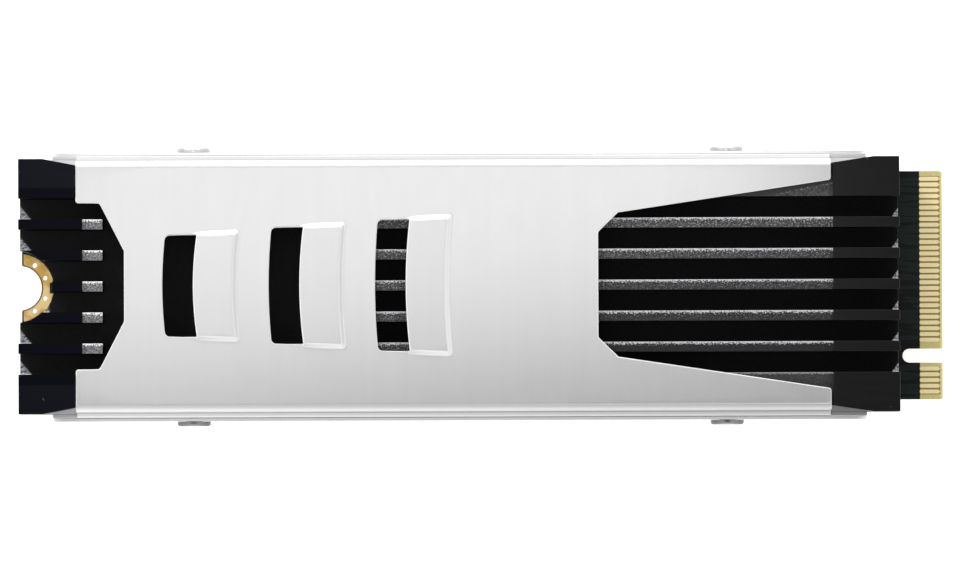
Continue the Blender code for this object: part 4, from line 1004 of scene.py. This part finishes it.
def screwPoints(turns=96):
    # rings of (radius times cosine, radius times sine, height) from the head's middle over its rim and down
    # the shank; the face sinks where an arm of the cross lies
    flat = screw["headRadius"] - screw["rim"]
    face = np.column_stack([np.linspace(0, flat, 25), np.full(25, screw["headHeight"])])
    rim = arcLine((flat, screw["headHeight"] - screw["rim"]), screw["rim"], 90, -90, 6)[1:]
    below = np.array([(screw["headRadius"], 0), (screw["shank"], 0),
                      (screw["shank"], screw["tip"] - screw["length"]),
                      (screw["shank"] - screw["tip"], -screw["length"]), (0, -screw["length"])])
    profile = np.concatenate([face, rim, below])
    angle = np.radians(np.arange(turns) * 360 / turns)
    radius, height = profile[:, :1], profile[:, 1:]
    x, y = radius * np.cos(angle), radius * np.sin(angle)
    z = np.broadcast_to(height, x.shape).copy()
    reach = np.stack([np.abs(x), np.abs(y)])
    long, short = reach.max(0), reach.min(0)
    inArm = np.clip((screw["armHalf"] - short) / screw["crossEdge"] + 0.5, 0, 1)
    inArm *= np.clip((screw["armLength"] - long) / screw["crossEdge"] + 0.5, 0, 1)
    onFace = (np.arange(len(profile)) < len(face))[:, None]
    z -= screw["crossDepth"] * inArm * onFace
    return np.stack([x, y, z], -1)


def buildScrews():
    rings = screwPoints()
    rows, turns = rings.shape[:2]
    wrapped = np.concatenate([np.arange(turns), [0]])
    quads = gridQuads(rows, turns + 1)
    quads = quads // (turns + 1) * turns + wrapped[quads % (turns + 1)]
    for number in range(1, 5):
        low, high = boxOf(f"side_screw_{number}")
        side = math.copysign(1, low[1] + high[1])  # 1 at the back, -1 at the front
        seat = max(abs(low[1]), abs(high[1])) - screw["headHeight"]
        middle = (low + high) / 2
        x, y, z = rings.reshape(-1, 3).T
        points = np.stack([middle[0] + x * side, side * (seat + z), middle[2] + y], 1)
        mesh = meshOf(f"sideScrew{number}", points, quads.reshape(-1, 4)[:, ::-1].tolist())
        weld(mesh)
        smoothTo(mesh, 50)
        standsFor(newPiece(f"sideScrew{number}", mesh, steelLook), f"side_screw_{number}")


buildScrews()
print("side screws ready")


# The card and the inner parts keep their own solids and get their finishes.
card = {
    "plating": 0.03,         # how far the gold stands proud of the board
    "maskEnd": 38.02,        # the laminate is bare past this
    "contactSetback": 0.21,  # from the card's end to the contacts
    "contactReach": 9.5,     # the contacts lie this far to either side of the middle
    "keyAt": -5.86,          # the plain stretch at the key notch
    "keyHalf": 1.22,
    "notchSetback": 0.2,     # the mounting screw's notch, and the bare board round it
    "notchReach": 2.06,
}
resin = plainSkin(  # dull and black, with a fine grit
    "mouldedResin", (0.02, 0.02, 0.021), 0.6, 14.0, 3.0, [(0.016, 0.016, 0.017), (0.030, 0.030, 0.031)],
    (0.50, 0.68), (0.006, 0.6))
lid = plainSkin(  # nickel plate, faintly clouded
    "platedLid", (0.62, 0.60, 0.56), 0.34, 1.5, 4.0, [(0.56, 0.55, 0.52), (0.68, 0.66, 0.62)],
    (0.28, 0.42), (0.003, 0.4), metallic=1.0)
ceramic = plainSkin(  # tan, with a fine grain
    "firedCeramic", (0.36, 0.25, 0.16), 0.5, 10.0, 3.0, [(0.30, 0.20, 0.12), (0.42, 0.30, 0.19)],
    (0.42, 0.58), (0.004, 0.5))
pad = plainSkin(  # soft grey silicone, powdery and slightly pitted
    "siliconePad", (0.30, 0.33, 0.38), 0.85, 4.0, 4.0, [(0.25, 0.28, 0.33), (0.36, 0.39, 0.44)],
    (0.75, 0.95), (0.02, 0.6), specular=0.2)
finishOf = {
    "circuit_board": contactCard(), "controller": lid, "crystal": lid, "dram": resin, "flash": resin,
    "power": resin, "load": resin, "inductor": resin, "polymer": resin, "ceramic": ceramic, "thermal": pad,
}
for name, node in nodes.items():
    for start, look in finishOf.items():
        if name.startswith(start):
            for place in node.material_slots:
                place.material = look
print("card and inner parts ready")


# The camera looks straight down through a long lens, a touch from the front edge.
camera = {
    "aim": (-0.255, -0.115),
    "distance": 730.0,
    "widthSeen": 83.44,
    "tilt": 1.35,   # degrees
    "roll": 0.20,
    "sensor": 36.0,
}


def placeCamera():
    data = bpy.data.cameras.new("photoCamera")
    data.sensor_width = camera["sensor"]
    data.lens = camera["sensor"] * camera["distance"] / camera["widthSeen"]
    data.clip_end = 5.0
    eye = bpy.data.objects.new("photoCamera", data)
    bpy.context.scene.collection.objects.link(eye)
    tilt, roll = math.radians(camera["tilt"]), math.radians(camera["roll"])
    reach = camera["distance"] * mm
    aimX, aimY = camera["aim"]
    eye.location = (aimX * mm, aimY * mm - reach * math.sin(tilt), cardHigh[2] * mm + reach * math.cos(tilt))
    eye.rotation_euler = (tilt, 0, -roll)
    bpy.context.scene.camera = eye


# The drive lies in a white tent that is bright all round and dark overhead. A near box with a grid hangs
# over the back left part and faces straight down, and its front and right edges give the sheet its fall of
# brightness. Soft boxes stand round the tent, and two small ones behind the drive light the fins from low
# down.
lights = {
    "near": {"at": (-9.3, 23.1, 90), "size": (77, 60), "turn": 7, "spread": 27, "power": 0.0012},
    "back": {"at": (0, 430, 140), "size": (500, 260), "power": 0.21},
    "front": {"at": (0, -430, 140), "size": (500, 260), "power": 0.13},
    "right": {"at": (430, 0, 140), "size": (500, 260), "power": 0.095},
    "left": {"at": (-430, 0, 140), "size": (500, 260), "power": 0.06},
    "keyLeft": {"at": (-240, 360, 250), "size": (60, 60), "power": 0.75},
    "keyRight": {"at": (180, 400, 250), "size": (80, 80), "power": 0.45},
}
tent = {"light": 0.95, "darkFrom": 0.88, "darkTo": 0.97}  # dark between these upward shares of a direction
floor = {"half": 1500, "below": 0.05, "glow": 0.72}


def placeLights():
    for name, box in lights.items():
        data = bpy.data.lights.new(name, "AREA")
        data.shape = "RECTANGLE"
        data.size, data.size_y = box["size"][0] * mm, box["size"][1] * mm
        data.energy = box["power"]
        lamp = bpy.data.objects.new(name, data)
        bpy.context.scene.collection.objects.link(lamp)
        lamp.location = [value * mm for value in box["at"]]
        if "spread" in box:
            lamp.rotation_euler.z = math.radians(box["turn"])
            data.spread = math.radians(box["spread"])
        else:
            lamp.rotation_euler = lamp.location.to_track_quat("Z", "Y").to_euler()
        lamp.visible_camera = False


def raiseTent():
    world = bpy.data.worlds.new("room")
    world.use_nodes = True
    tree = world.node_tree
    sky = tree.nodes["Background"]
    sky.inputs["Color"].default_value = (1, 1, 1, 1)
    way = tree.nodes.new("ShaderNodeTexCoord")
    split = tree.nodes.new("ShaderNodeSeparateXYZ")
    fall = tree.nodes.new("ShaderNodeMapRange")
    for socket, number in zip(list(fall.inputs)[1:], (tent["darkFrom"], tent["darkTo"], tent["light"], 0.0)):
        socket.default_value = number
    tree.links.new(way.outputs["Generated"], split.inputs[0])
    tree.links.new(split.outputs["Z"], fall.inputs[0])
    tree.links.new(fall.outputs[0], sky.inputs["Strength"])
    bpy.context.scene.world = world


def layFloor():
    half, level = floor["half"], -floor["below"]
    corners = [(-half, -half, level), (half, -half, level), (half, half, level), (-half, half, level)]
    look = Look("studioFloor", (0.9, 0.9, 0.9), 0.8, specular=0.1)
    paper = look.noise(0.5, 2.0)
    look.colour(look.grade(paper, 0.3, 0.7, (0.89, 0.89, 0.89), (0.91, 0.91, 0.91)))
    look.set("Emission Color", (1, 1, 1, 1))
    look.set("Emission Strength", floor["glow"])
    newPiece("studioFloor", meshOf("studioFloor", corners, [(0, 1, 2, 3)]), look.material)


placeCamera()
placeLights()
raiseTent()
layFloor()
bpy.context.scene.view_settings.view_transform = "Standard"
print("camera, lights and floor ready")
